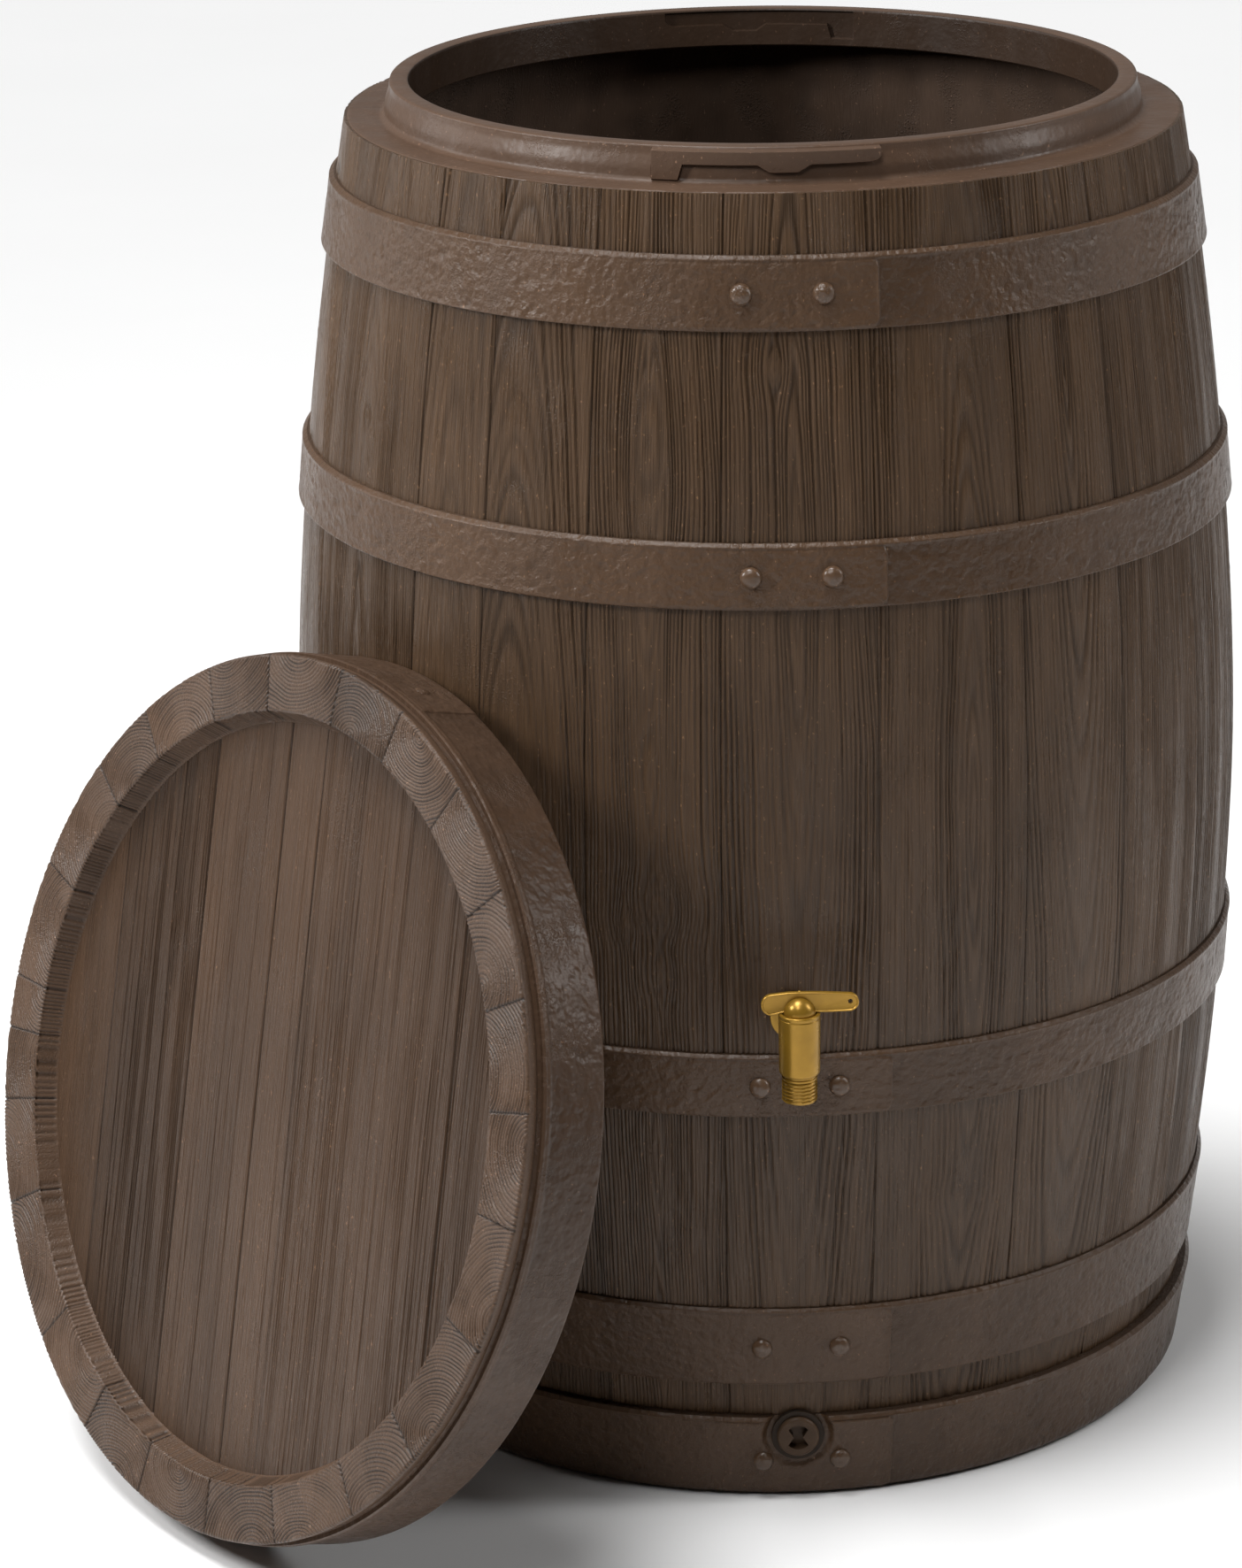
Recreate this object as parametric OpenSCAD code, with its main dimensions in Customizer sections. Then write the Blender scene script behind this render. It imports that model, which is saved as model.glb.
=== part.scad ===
// Barrel-shaped rainwater butt with a loose lid, a quarter-turn tap and a screwed drain plug.
// Millimetres. The origin is the centre of the base, +Z is up and -Y is the front.
// The lid is off the neck and leans on the barrel, front left.

/* [Barrel] */
// Radius of the staves at the widest level
belly_r = 377.5; // [300:0.5:420]
// Height of the widest level
belly_z = 520; // [400:5:600]
// Radius lost from the belly down to the base
foot_drop = 44; // [20:1:70]
// Radius lost from the belly up to the shoulder
top_drop = 51.5; // [20:0.5:80]
// Height of the flat shoulder round the neck
shoulder_z = 1030; // [900:5:1150]
// Wall thickness of the moulded shell
wall = 5; // [4:0.5:8]
// Thickness of the base
floor_t = 6; // [5:0.5:10]

/* [Neck] */
// Inner radius of the mouth
mouth_r = 275; // [200:1:285]
// Outer radius of the neck's lip
lip_r = 290; // [220:1:300]
// Height of the neck above the shoulder
neck_h = 26; // [18:1:50]
// Half the angle that one lid catch spans
catch_half_angle = 16.5; // [10:0.5:30]
// How far a catch stands out from the neck
catch_proud = 4; // [2:0.5:6]

/* [Front fittings] */
// Direction of the drain, the rivets and the hoop ends, seen from above
front_az = -86.2; // [-100:0.1:-75]
// Distance between the two rivets of a hoop
rivet_gap = 60; // [40:1:90]
// Diameter of a rivet's head
rivet_d = 16; // [8:1:24]
// How far a rivet's head stands out
rivet_h = 5.5; // [2:0.5:8]
// Distance from the front line to the end of each hoop's overlap
hoop_end = 70; // [50:1:100]

/* [Tap] */
// Direction of the tap, seen from above
tap_az = -86.8; // [-100:0.1:-75]
// Height of the tap's tail
tap_z = 417; // [200:1:500]
// Distance of the tap's upright axis from the barrel's axis
tap_reach = 435.5; // [420:0.5:480]
// Radius of the tap's body
tap_r = 15.4; // [14:0.1:18]
// Outer radius of the pipe threads, drawn as plain cylinders
thread_r = 13.22; // [13:0.01:13.5]
// Length of the lever's long arm
lever_long = 43.7; // [30:0.1:60]
// Length of the lever's short arm
lever_short = 28.4; // [20:0.1:40]

/* [Drain] */
// Height of the drain's axis
drain_z = 55; // [45:1:90]
// Radius of the drain bush's flange
bush_flange_r = 20.6; // [18:0.1:24]
// Radius of the plug's head
plug_head_r = 16.4; // [14.5:0.1:17]

/* [Lid] */
// Radius of the lid's open back edge
lid_back_r = 340; // [332:0.5:360]
// Radius of the lid's face
lid_face_r = 336.5; // [320:0.5:350]
// Height of the lid from its open back to its face
lid_h = 71; // [60:1:90]
// Width of the raised ring round the lid's panel
lid_ring_w = 45; // [30:1:60]
// Depth of the recessed panel below the ring
lid_recess = 18; // [8:1:22]
// How far the leaning lid tips back from upright
lid_lean = 15.7; // [12:0.1:15.7]
// Direction that the lid's face looks, seen from above
lid_az = 219.25; // [180:0.25:260]
// Distance of the back edge's middle from the barrel's axis, in that direction
lid_reach = 464.2; // [464.2:0.1:520]
// Sideways distance of the lid's middle from that line
lid_side = 30; // [-60:1:60]

/* [Hidden] */
$fn = 96;

// Each hoop: lower edge, upper edge, how far it stands out, turn of its rivets and end from front_az.
HOOPS = [
    [0, 71, 9, 0.5],
    [100, 167, 4.5, 0.3],
    [333, 384, 4.5, 0],
    [730, 779, 5, -0.7],
    [932, 986, 5, -1.5]];
hoop_chamfer = 3;
drain_rivet_z = 33;
stave_step = 45;
top_round = 3;
foot_round = 8;
top_z = shoulder_z + neck_h;
neck_r = lip_r + 3.5;
lip_t = 4;
catch_z = top_z - 14;
tooth_z = catch_z - 4.5;
catch_leg = 4;
tooth_from = 15;
tooth_span = 4;
shell_brown = [0.32, 0.25, 0.21];
lid_brown = [0.36, 0.29, 0.25];

// Height of the lid's widest edge above its open back.
lid_edge = 3;

// Flat seats that the fittings clamp on, as distances from the barrel's axis.
tap_seat = 373.9;
tap_pad = 368;
tap_pad_r = 23;
drain_seat = 344.5;
drain_pad = 330;
drain_pad_r = 28;
drain_recess_r = 25.8;
hole_gap = 0.25;
gasket_t = 3;
washer_t = 2;
thread_gap = 0.08;

// Tap, measured from its axis at the height of its tail.
body_top = 25;
cock_top = 20.6;
body_bottom = -21;
spout_top = -24;
spout_bottom = -44;
cock_r = 11;
cock_gap = 0.06;
port_r = 6.5;
tail_r = thread_r - thread_gap;
tail_end = 338;
tail_flange_r = 18.5;
tail_flange_t = 4;
dome_r = 12;
lever_t = 2.4;
lever_rim_t = 3.8;
lever_rim_w = 1.4;
lever_lift = 0.4;
lever_hole_r = 1.75;
lever_hole_y = 37.4;
lever_hole_z = 33.4;
oring_gap = 0.3;
oring_z = [15.5, -13.5];
oring_thick = 1.6;
groove_r = cock_r - oring_gap - oring_thick;

// Drain, measured outwards from the barrel's axis.
bush_front = 348.5;
bush_end = 316;
bush_r = 17.5;
drain_gasket_t = 1.5;
plug_face = 353;
plug_head_t = 4.9;
plug_len = 14.3;
seal_t = 1.6;
seal_gap = 0.05;
socket_r = 10.2;

// Radius of the staves' surface at height z.
function stave_r(z) = belly_r
    - (z > belly_z ? top_drop * pow((z - belly_z) / (shoulder_z - belly_z), 1.7)
                   : foot_drop * pow((belly_z - z) / belly_z, 1.9));

// Angle that a distance round the barrel takes up at radius r.
function arc_angle(dist, r) = dist / r * 180 / PI;

// ---- barrel ----

module stave_outline() {
    steps = floor((shoulder_z - top_round) / stave_step);
    polygon(concat(
        [[0, 0], [stave_r(0), 0]],
        [for (i = [1 : steps]) [stave_r(i * stave_step), i * stave_step]],
        [[stave_r(shoulder_z) - 0.3, shoulder_z - top_round],
         [stave_r(shoulder_z) - top_round, shoulder_z], [0, shoulder_z]]));
}

module hoop_outline(h) {
    foot = h[0] == 0 ? foot_round : 1;
    back = 3;
    polygon([
        [stave_r(h[0]) - back, h[0]], [stave_r(h[0]) + h[2] - foot, h[0]],
        [stave_r(h[0]) + h[2], h[0] + foot], [stave_r(h[1]) + h[2], h[1] - hoop_chamfer],
        [stave_r(h[1]) + h[2] - hoop_chamfer, h[1]],
        [stave_r(h[1]) - back, h[1]]]);
}

module neck_outline() {
    polygon([
        [0, shoulder_z - 1], [neck_r + 6, shoulder_z - 1], [neck_r + 1, shoulder_z + 3],
        [neck_r, shoulder_z + neck_h * 0.4], [lip_r + 0.5, shoulder_z + neck_h * 0.75],
        [lip_r, top_z - 2], [lip_r - 2, top_z], [0, top_z]]);
}

module inside_outline() {
    steps = floor((shoulder_z - 2 * wall) / stave_step);
    polygon(concat(
        [[0, floor_t], [stave_r(0) - wall - 4, floor_t]],
        [for (i = [1 : steps]) [stave_r(i * stave_step) - wall, i * stave_step]],
        [[stave_r(shoulder_z) - wall - 2, shoulder_z - wall - 4],
         [stave_r(shoulder_z) - wall - 6, shoulder_z - wall], [mouth_r, shoulder_z - wall],
         [mouth_r, top_z + 1], [0, top_z + 1]]));
}

module rivets(h) {
    z = h[0] == 0 ? drain_rivet_z : (h[0] + h[1]) / 2;
    r = stave_r(z) + h[2];
    half = arc_angle(rivet_gap / 2, r);
    ball_r = (pow(rivet_d / 2, 2) + pow(rivet_h, 2)) / (2 * rivet_h);
    for (side = [-1, 1])
        rotate([0, 0, front_az + h[3] + side * half])
            translate([r + rivet_h - ball_r, 0, z]) sphere(r = ball_r);
}

// The lapped end of a hoop: a thin raised patch that stops at the hoop's end.
module hoop_lap(h) {
    lap_t = 1.2;
    span = arc_angle(2 * hoop_end, stave_r(h[0]));
    top = h[1] - hoop_chamfer - 1;
    rotate([0, 0, front_az + h[3] - span / 2])
        rotate_extrude(angle = span)
            polygon([
                [stave_r(h[0]) + 1, h[0] + 9], [stave_r(h[0] + 9) + h[2] + lap_t, h[0] + 9],
                [stave_r(h[1]) + h[2] + lap_t, top], [stave_r(h[1]) + 1, top]]);
}

module sector(from, span, r0, r1, z0, z1) {
    rotate([0, 0, from]) rotate_extrude(angle = span)
        translate([r0, z0]) square([r1 - r0, z1 - z0]);
}

// One lid catch: a band under the lip, a leg that stops the lid and a tooth that it clicks over.
module catch(az) {
    outer = neck_r + catch_proud;
    start = az - catch_half_angle;
    sector(start, 2 * catch_half_angle, lip_r - 6, outer, catch_z, top_z - 2);
    sector(start, catch_leg, lip_r - 6, outer, shoulder_z - 0.5, top_z - 2);
    sector(start + tooth_from + 2, tooth_span, lip_r - 6, outer, tooth_z, catch_z + 1);
}

// Frames on the barrel's axis at the heights of the tap's tail and of the drain, +X pointing at each.
module at_tail() {
    rotate([0, 0, tap_az]) translate([0, 0, tap_z]) children();
}

module at_drain() {
    rotate([0, 0, front_az]) translate([0, 0, drain_z]) children();
}

module along_x(from, to, r) {
    translate([from, 0, 0]) rotate([0, 90, 0]) cylinder(h = to - from, r = r);
}

module barrel_shell() color(shell_brown) {
    difference() {
        union() {
            difference() {
                union() {
                    rotate_extrude($fn = 180) {
                        stave_outline();
                        for (h = HOOPS) hoop_outline(h);
                        neck_outline();
                    }
                    for (h = HOOPS) hoop_lap(h);
                    for (h = HOOPS) rivets(h);
                    for (az = [-89.5, 90.5]) catch(az);
                }
                rotate_extrude($fn = 180) inside_outline();
            }
            at_tail() along_x(tap_pad, tap_seat - 1, tap_pad_r);
            at_drain() along_x(drain_pad, drain_seat - 1, drain_pad_r);
        }
        at_tail() {
            along_x(tap_seat, tap_reach, tap_pad_r);
            along_x(tap_pad - 20, tap_seat + 20, thread_r + hole_gap);
        }
        at_drain() {
            along_x(drain_seat, tap_reach, drain_recess_r);
            along_x(drain_pad - 20, drain_seat + 20, bush_r + hole_gap);
        }
    }
}

// ---- lid ----

// Turns the lid's own frame (open back at z = 0, face up) to where it leans, its widest edge on the ground.
module leaning() {
    rest_z = lid_back_r * cos(lid_lean) - lid_edge * sin(lid_lean);
    rotate([0, 0, lid_az]) translate([lid_reach, lid_side, rest_z])
        rotate([0, 90 - lid_lean, 0]) children();
}

module lid_outline() {
    ring_in = lid_face_r - lid_ring_w;
    polygon([
        [0, 0], [lid_back_r - 2, 0], [lid_back_r, lid_edge], [lid_back_r - 1, lid_h - 16],
        [lid_back_r - 3.5, lid_h - 13], [lid_back_r - 5.5, lid_h - 12], [lid_face_r - 1.5, lid_h - 8],
        [lid_face_r, lid_h - 2], [lid_face_r - 2, lid_h], [ring_in + 2, lid_h], [ring_in, lid_h - 2],
        [ring_in - 7, lid_h - lid_recess], [0, lid_h - lid_recess]]);
}

module lid_hollow() {
    t = wall - 1;
    ring_in = lid_face_r - lid_ring_w;
    polygon([
        [0, -1], [lid_back_r - t - 1, -1], [lid_back_r - t - 2, lid_h - 18],
        [lid_face_r - t - 3, lid_h - t - 2], [ring_in + t + 4, lid_h - t - 2],
        [ring_in + t - 5, lid_h - lid_recess - t], [0, lid_h - lid_recess - t]]);
}

// Wall under the lid that goes round the neck, with a lug for each catch.
module lid_guide() {
    guide_r = neck_r + catch_proud + 4;
    guide_t = 3;
    guide_bottom = lid_h - lid_recess - 26;
    difference() {
        translate([0, 0, guide_bottom]) cylinder(h = lid_h - guide_bottom - 5, r = guide_r + guide_t);
        translate([0, 0, -1]) cylinder(h = lid_h + 2, r = guide_r);
    }
    for (az = [20, 200])
        sector(az, 5, guide_r - 4.5, guide_r + 1, guide_bottom, guide_bottom + 7);
}

module lid() color(lid_brown) leaning() {
    difference() {
        rotate_extrude($fn = 180) lid_outline();
        rotate_extrude($fn = 180) lid_hollow();
    }
    lid_guide();
}

// ---- tap ----

// Tap's own frame: the upright axis at the tail's height, +X away from the barrel.
module at_tap() {
    at_tail() translate([tap_reach, 0, 0]) children();
}

module tap_body() color("goldenrod") at_tap() {
    flange_x = tap_seat + gasket_t - tap_reach;
    rim_r = dome_r + 0.4;
    difference() {
        union() {
            translate([0, 0, body_bottom]) cylinder(h = body_top - body_bottom, r = tap_r);
            translate([0, 0, spout_top]) cylinder(h = body_bottom - spout_top, r1 = thread_r, r2 = tap_r);
            translate([0, 0, spout_bottom]) cylinder(h = spout_top - spout_bottom, r = thread_r);
            along_x(flange_x, 0, 10.5);
            along_x(flange_x, flange_x + tail_flange_t, tail_flange_r);
            along_x(tail_end - tap_reach, flange_x, tail_r);
        }
        translate([0, 0, body_bottom + 2]) cylinder(h = 50, r = cock_r);
        translate([0, 0, body_top - 4.6]) cylinder(h = 3.1, r = 13.3);
        translate([0, 0, body_top - 2]) cylinder(h = 3, r = rim_r);
        translate([0, 0, spout_bottom - 1]) cylinder(h = 40, r = 9.5);
        along_x(tail_end - tap_reach - 1, -5, 7.5);
    }
}

module flat_ring(from, to, outer, inner) {
    difference() {
        along_x(from, to, outer);
        along_x(from - 1, to + 1, inner);
    }
}

module tap_gasket() color("black") at_tail()
    flat_ring(tap_seat, tap_seat + gasket_t, 18, thread_r + hole_gap);

module tap_washer() color("black") at_tail()
    flat_ring(tap_pad - washer_t, tap_pad, 19, thread_r + hole_gap);

// Hexagonal nut between two places along the fitting.
module nut(from, to, across_flats, inner) {
    difference() {
        translate([from, 0, 0]) rotate([0, 90, 0])
            cylinder(h = to - from, r = across_flats / sqrt(3), $fn = 6);
        along_x(from - 1, to + 1, inner);
    }
}

module tap_backnut() color("goldenrod") at_tail()
    nut(tap_pad - washer_t - 8, tap_pad - washer_t, 34, thread_r);

module oring_groove(z, floor_r, width) {
    translate([0, 0, z - width / 2]) difference() {
        cylinder(h = width, r = cock_r + 1);
        translate([0, 0, -1]) cylinder(h = width + 2, r = floor_r);
    }
}

module tap_plug() color("goldenrod") at_tap() difference() {
    translate([0, 0, body_bottom + 2.4]) cylinder(h = cock_top - body_bottom - 2.4, r = cock_r - cock_gap);
    translate([0, 0, body_bottom - 1]) cylinder(h = 32, r = 7.5);
    rotate([90, 0, 0]) cylinder(h = 20, r = port_r);
    for (z = oring_z) oring_groove(z, groove_r, oring_thick + 0.6);
}

module tap_oring(z) color("black") at_tap() translate([0, 0, z])
    rotate_extrude() translate([groove_r + oring_thick / 2, 0]) circle(d = oring_thick, $fn = 24);

module tap_oring_upper() tap_oring(oring_z[0]);
module tap_oring_lower() tap_oring(oring_z[1]);

// Side view of the lever: two round ends joined by straight edges, a little higher in the middle.
module lever_outline(inset) {
    end_r = 8.3;
    tip_r = 7;
    left = -lever_short + end_r;
    right = lever_long - tip_r;
    translate([left, 31.6]) circle(r = end_r - inset);
    translate([right, 32.8]) circle(r = tip_r - inset);
    polygon([
        [left, 31.6 - end_r + inset], [-12, 25.4 + inset],
        [12, 25.4 + inset], [right, 32.8 - tip_r + inset],
        [right, 32.8 + tip_r - inset], [0, 41.3 - inset], [left, 31.6 + end_r - inset]]);
}

module lever_plate(thick, inset) {
    translate([-thick / 2, 0, 0]) rotate([90, 0, 90]) linear_extrude(thick) lever_outline(inset);
}

// The plate is thinner inside its raised rim, and is cut away over the top of the tap's body.
module lever_arms() {
    pocket = 10;
    difference() {
        lever_plate(lever_rim_t, 0);
        for (side = [-1, 1])
            translate([side * (lever_t + pocket) / 2, 0, 0]) lever_plate(pocket, lever_rim_w);
        translate([0, 0, body_top - 10]) cylinder(h = 10 + lever_lift, r = tap_r + 0.6);
        translate([-10, lever_hole_y, lever_hole_z]) rotate([0, 90, 0])
            cylinder(h = 20, r = lever_hole_r, $fn = 32);
    }
}

module tap_lever() color("gold") at_tap() {
    lever_arms();
    translate([0, 0, body_top]) intersection() {
        sphere(r = dome_r);
        cylinder(h = dome_r + 1, r = dome_r + 1);
    }
    translate([0, 0, cock_top]) cylinder(h = body_top - cock_top, r = dome_r);
    translate([0, 0, cock_top]) cylinder(h = 2.6, r = dome_r + 1);
}

// ---- drain ----

module drain_bush() color([0.13, 0.11, 0.1]) at_drain() difference() {
    union() {
        along_x(drain_seat + drain_gasket_t, bush_front, bush_flange_r);
        along_x(bush_end, drain_seat + drain_gasket_t + 1, bush_r);
    }
    along_x(bush_end - 1, bush_front + 1, thread_r);
    along_x(plug_face - plug_head_t - seal_t, bush_front + 1, plug_head_r + 0.3);
}

module drain_gasket() color("black") at_drain()
    flat_ring(drain_seat, drain_seat + drain_gasket_t, bush_flange_r - 0.5, bush_r + hole_gap);

module drain_backnut() color([0.13, 0.11, 0.1]) at_drain()
    nut(drain_pad - 9, drain_pad, 46, bush_r + thread_gap);

// Bow-tie key socket: a round pocket with a wedge left standing on each side.
module key_socket() {
    depth = 9;
    difference() {
        along_x(plug_face - depth, plug_face + 1, socket_r);
        for (side = [0, 180]) rotate([side, 0, 0])
            translate([plug_face - depth - 1, 0, 0]) rotate([90, 0, 90])
                linear_extrude(depth + 3) polygon([[3.8, 0], [12, 9.2], [12, -9.2]]);
    }
}

module drain_plug() color(shell_brown) at_drain() difference() {
    union() {
        along_x(plug_face - plug_head_t, plug_face, plug_head_r);
        along_x(plug_face - plug_head_t - plug_len, plug_face - 1, tail_r);
    }
    key_socket();
}

module drain_oring() color("black") at_drain()
    flat_ring(plug_face - plug_head_t - seal_t, plug_face - plug_head_t - seal_gap,
              plug_head_r - 0.4, tail_r + seal_gap);

barrel_shell();
lid();
tap_body();
tap_gasket();
tap_washer();
tap_backnut();
tap_plug();
tap_lever();
tap_oring_upper();
tap_oring_lower();
drain_bush();
drain_gasket();
drain_backnut();
drain_plug();
drain_oring();
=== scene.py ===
"""The looks of a wood-effect rain barrel, with its leaning lid, its tap and its drain."""

import math

import bmesh
import bpy
import numpy as np
from mathutils import Matrix, Vector


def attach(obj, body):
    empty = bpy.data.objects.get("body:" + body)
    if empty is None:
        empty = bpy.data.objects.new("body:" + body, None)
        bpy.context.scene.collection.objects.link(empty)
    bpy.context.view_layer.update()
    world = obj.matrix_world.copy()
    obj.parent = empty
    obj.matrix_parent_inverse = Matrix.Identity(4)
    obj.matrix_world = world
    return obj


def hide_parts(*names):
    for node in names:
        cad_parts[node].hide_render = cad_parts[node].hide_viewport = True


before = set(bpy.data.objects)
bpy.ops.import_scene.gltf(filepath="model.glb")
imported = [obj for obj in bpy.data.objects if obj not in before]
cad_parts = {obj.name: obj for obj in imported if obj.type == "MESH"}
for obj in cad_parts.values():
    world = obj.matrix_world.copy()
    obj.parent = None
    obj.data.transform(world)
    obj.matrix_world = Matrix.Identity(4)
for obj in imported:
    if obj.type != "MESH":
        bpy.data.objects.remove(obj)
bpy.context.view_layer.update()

# ---- Sizes in millimetres, as the CAD part has them ----
MM = 0.001
BELLY_R, BELLY_Z = 377.5, 520.0
TOP_DROP, FOOT_DROP = 51.5, 44.0
SHOULDER_Z, TOP_Z = 1030.0, 1056.0
WALL, SKIN, FLOOR_T = 5.0, 3.0, 6.0
MOUTH_R, LIP_R, NECK_R = 275.0, 290.0, 293.5
CATCH_AZ, CATCH_HALF, CATCH_PROUD = (-89.5, 90.5), 16.5, 4.0
CATCH_Z, TOOTH_Z = 1043.0, 1037.5
FRONT_AZ = -86.2
HOOP_CHAMFER, LAP_T, HOOP_END = 3.0, 1.2, 70.0
RIVET_SIDE, RIVET_R, RIVET_H = 30.0, 8.0, 5.5
DRAIN_RIVET_Z = 33.0
TAP_AZ, TAP_Z, TAP_REACH = -86.8, 417.0, 435.5
DRAIN_Z, DRAIN_SEAT, DRAIN_RECESS_R = 55.0, 344.5, 25.8
LID_AZ, LID_LEAN, LID_REACH, LID_SIDE = 219.25, 15.7, 464.2, 30.0
LID_BACK_R, LID_FACE_R, LID_H = 340.0, 336.5, 71.0
LID_RING_W, LID_RECESS, LID_EDGE = 45.0, 18.0, 3.0

# Each hoop: lower edge, upper edge, how far it stands out, turn of its rivets and end from FRONT_AZ.
HOOPS = [
    (0, 71, 9, 0.5),
    (100, 167, 4.5, 0.3),
    (333, 384, 4.5, 0),
    (730, 779, 5, -0.7),
    (932, 986, 5, -1.5)]

# Seams between staves, in degrees: those at the front, then evenly spaced ones round the back.
FRONT_SEAMS = [-159, -136, -125, -111, -95, -77, -58.5, -43.5, -27]
BACK_STAVES = 14
BACK_SEAMS = np.linspace(FRONT_SEAMS[-1], FRONT_SEAMS[0] + 360, BACK_STAVES + 1)
SEAMS = np.concatenate([FRONT_SEAMS[:-1], BACK_SEAMS])

# Knots: direction, height, half width, and how many times longer than wide.
KNOTS = [
    (-103.3, 850, 15, 3.4),
    (-102.0, 501, 11, 1.3),
    (-105.4, 483, 6, 1.2),
    (-102.1, 444, 6, 1.8),
    (-103.2, 720, 8, 6.0),
    (-102.8, 600, 7, 7.0),
    (-103.0, 300, 7, 8.0),
    (-103.4, 140, 6, 5.0),
    (-147.7, 831, 7, 1.8),
    (-88.5, 905, 6, 2.0),
    (-66.0, 250, 7, 1.5),
    (20, 640, 9, 1.4),
    (52, 860, 8, 1.6),
    (75, 260, 8, 1.5),
    (118, 880, 9, 1.6),
    (150, 500, 10, 1.3),
    (184, 250, 7, 2.0)]

# Where the growth rings of some staves centre: share of the stave's width, and height. The other
# staves draw theirs at random.
HEARTS = {1: (0.5, 300), 4: (0.47, 760), 5: (0.62, 560), 6: (0.55, 900)}

# Directions of the joints between the blocks of the lid's ring, in degrees round its face.
FRONT_JOINTS = [0.6, -15.5, -34, -48.5, -65.5, -81, -97, -112, -128, -148, -162.5, -172.6]
TOP_JOINTS = [180, 163, 145.6, 133, 117.5, 104, 88, 74, 58.5, 43, 29, 15]


# ---- Repeatable noise ----

def hashed(i, j, seed):
    """A repeatable random value from 0 to 1 for each pair of whole numbers."""
    mixed = np.asarray(i).astype(np.int64) * 374761393 + np.asarray(j).astype(np.int64) * 668265263
    mixed = (mixed + int(seed) * 974634777) & 0xFFFFFFFF
    mixed = ((mixed ^ (mixed >> 13)) * 1274126177) & 0xFFFFFFFF
    return ((mixed ^ (mixed >> 16)) & 0xFFFF) / 65535.0


def smooth(x):
    """A soft step: 0 up to 0, 1 from 1, and a smooth rise between."""
    x = np.clip(x, 0, 1)
    return x * x * (3 - 2 * x)


def noise(x, y, seed, wrap=None):
    """Smooth noise from 0 to 1, with lumps about one unit across. wrap makes it repeat along x."""
    x, y = np.broadcast_arrays(np.asarray(x, float), np.asarray(y, float))
    i, j = np.floor(x), np.floor(y)
    across, along = smooth(x - i), smooth(y - j)
    right = i + 1
    if wrap:
        i, right = i % wrap, right % wrap
    low = hashed(i, j, seed) * (1 - across) + hashed(right, j, seed) * across
    high = hashed(i, j + 1, seed) * (1 - across) + hashed(right, j + 1, seed) * across
    return low * (1 - along) + high * along


def cells(x, y, seed, wrap=None):
    """Distance to the nearest of one scattered point per unit square, and that point's random value."""
    x, y = np.broadcast_arrays(np.asarray(x, float), np.asarray(y, float))
    best, value = np.full(x.shape, 9.0), np.zeros(x.shape)
    for step_x in (-1, 0, 1):
        for step_y in (-1, 0, 1):
            i, j = np.floor(x) + step_x, np.floor(y) + step_y
            home = i % wrap if wrap else i
            far = np.hypot(x - i - hashed(home, j, seed), y - j - hashed(home, j, seed + 1))
            value = np.where(far < best, hashed(home, j, seed + 2), value)
            best = np.minimum(far, best)
    return best, value


# ---- Making pieces ----

def quads(rows, columns, closed_rows, closed_columns):
    """The four-cornered faces of a grid, as vertex numbers."""
    row, column = np.meshgrid(np.arange(rows if closed_rows else rows - 1),
                              np.arange(columns if closed_columns else columns - 1), indexing="ij")
    next_row, next_column = (row + 1) % rows, (column + 1) % columns
    return np.stack([row * columns + column, row * columns + next_column,
                     next_row * columns + next_column, next_row * columns + column], axis=-1).reshape(-1, 4)


def piece(name, points, faces, ends=(), values=None, sharp=None):
    """A smooth-shaded object from points in millimetres. values are attributes of its points."""
    corners = np.concatenate([faces.ravel()] + [np.asarray(end) for end in ends]).astype(np.int32)
    sizes = np.array([4] * len(faces) + [len(end) for end in ends])
    mesh = bpy.data.meshes.new(name)
    mesh.vertices.add(len(points))
    mesh.vertices.foreach_set("co", (points * MM).ravel())
    mesh.loops.add(len(corners))
    mesh.loops.foreach_set("vertex_index", corners)
    mesh.polygons.add(len(sizes))
    mesh.polygons.foreach_set("loop_start", np.concatenate([[0], np.cumsum(sizes)[:-1]]).astype(np.int32))
    mesh.polygons.foreach_set("use_smooth", np.ones(len(sizes), bool))
    mesh.update(calc_edges=True)
    for key, value in (values or {}).items():
        vector = value.ndim == 2
        attribute = mesh.attributes.new(key, "FLOAT_VECTOR" if vector else "FLOAT", "POINT")
        attribute.data.foreach_set("vector" if vector else "value", value.ravel())
    if sharp is not None:
        edges = np.empty(2 * len(mesh.edges), np.int32)
        mesh.edges.foreach_get("vertices", edges)
        mark = mesh.attributes.new("sharp_edge", "BOOLEAN", "EDGE")
        mark.data.foreach_set("value", sharp(edges[0::2], edges[1::2]))
    made = bpy.data.objects.new(name, mesh)
    bpy.context.collection.objects.link(made)
    return made


def signed_volume(points, faces):
    """Positive where the faces look outwards."""
    a, b, c, d = (points[faces[:, k]] for k in range(4))
    return (np.cross(a, b) * c).sum() + (np.cross(a, c) * d).sum()


def plain_values(points):
    """Attributes of an uncarved surface: no painted hollow shade, the middle tone, and grain along its own
    points.
    """
    count = len(points)
    return {"hollow_shade": np.zeros(count), "tone": np.full(count, 0.5), "grain": points * MM}


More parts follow.
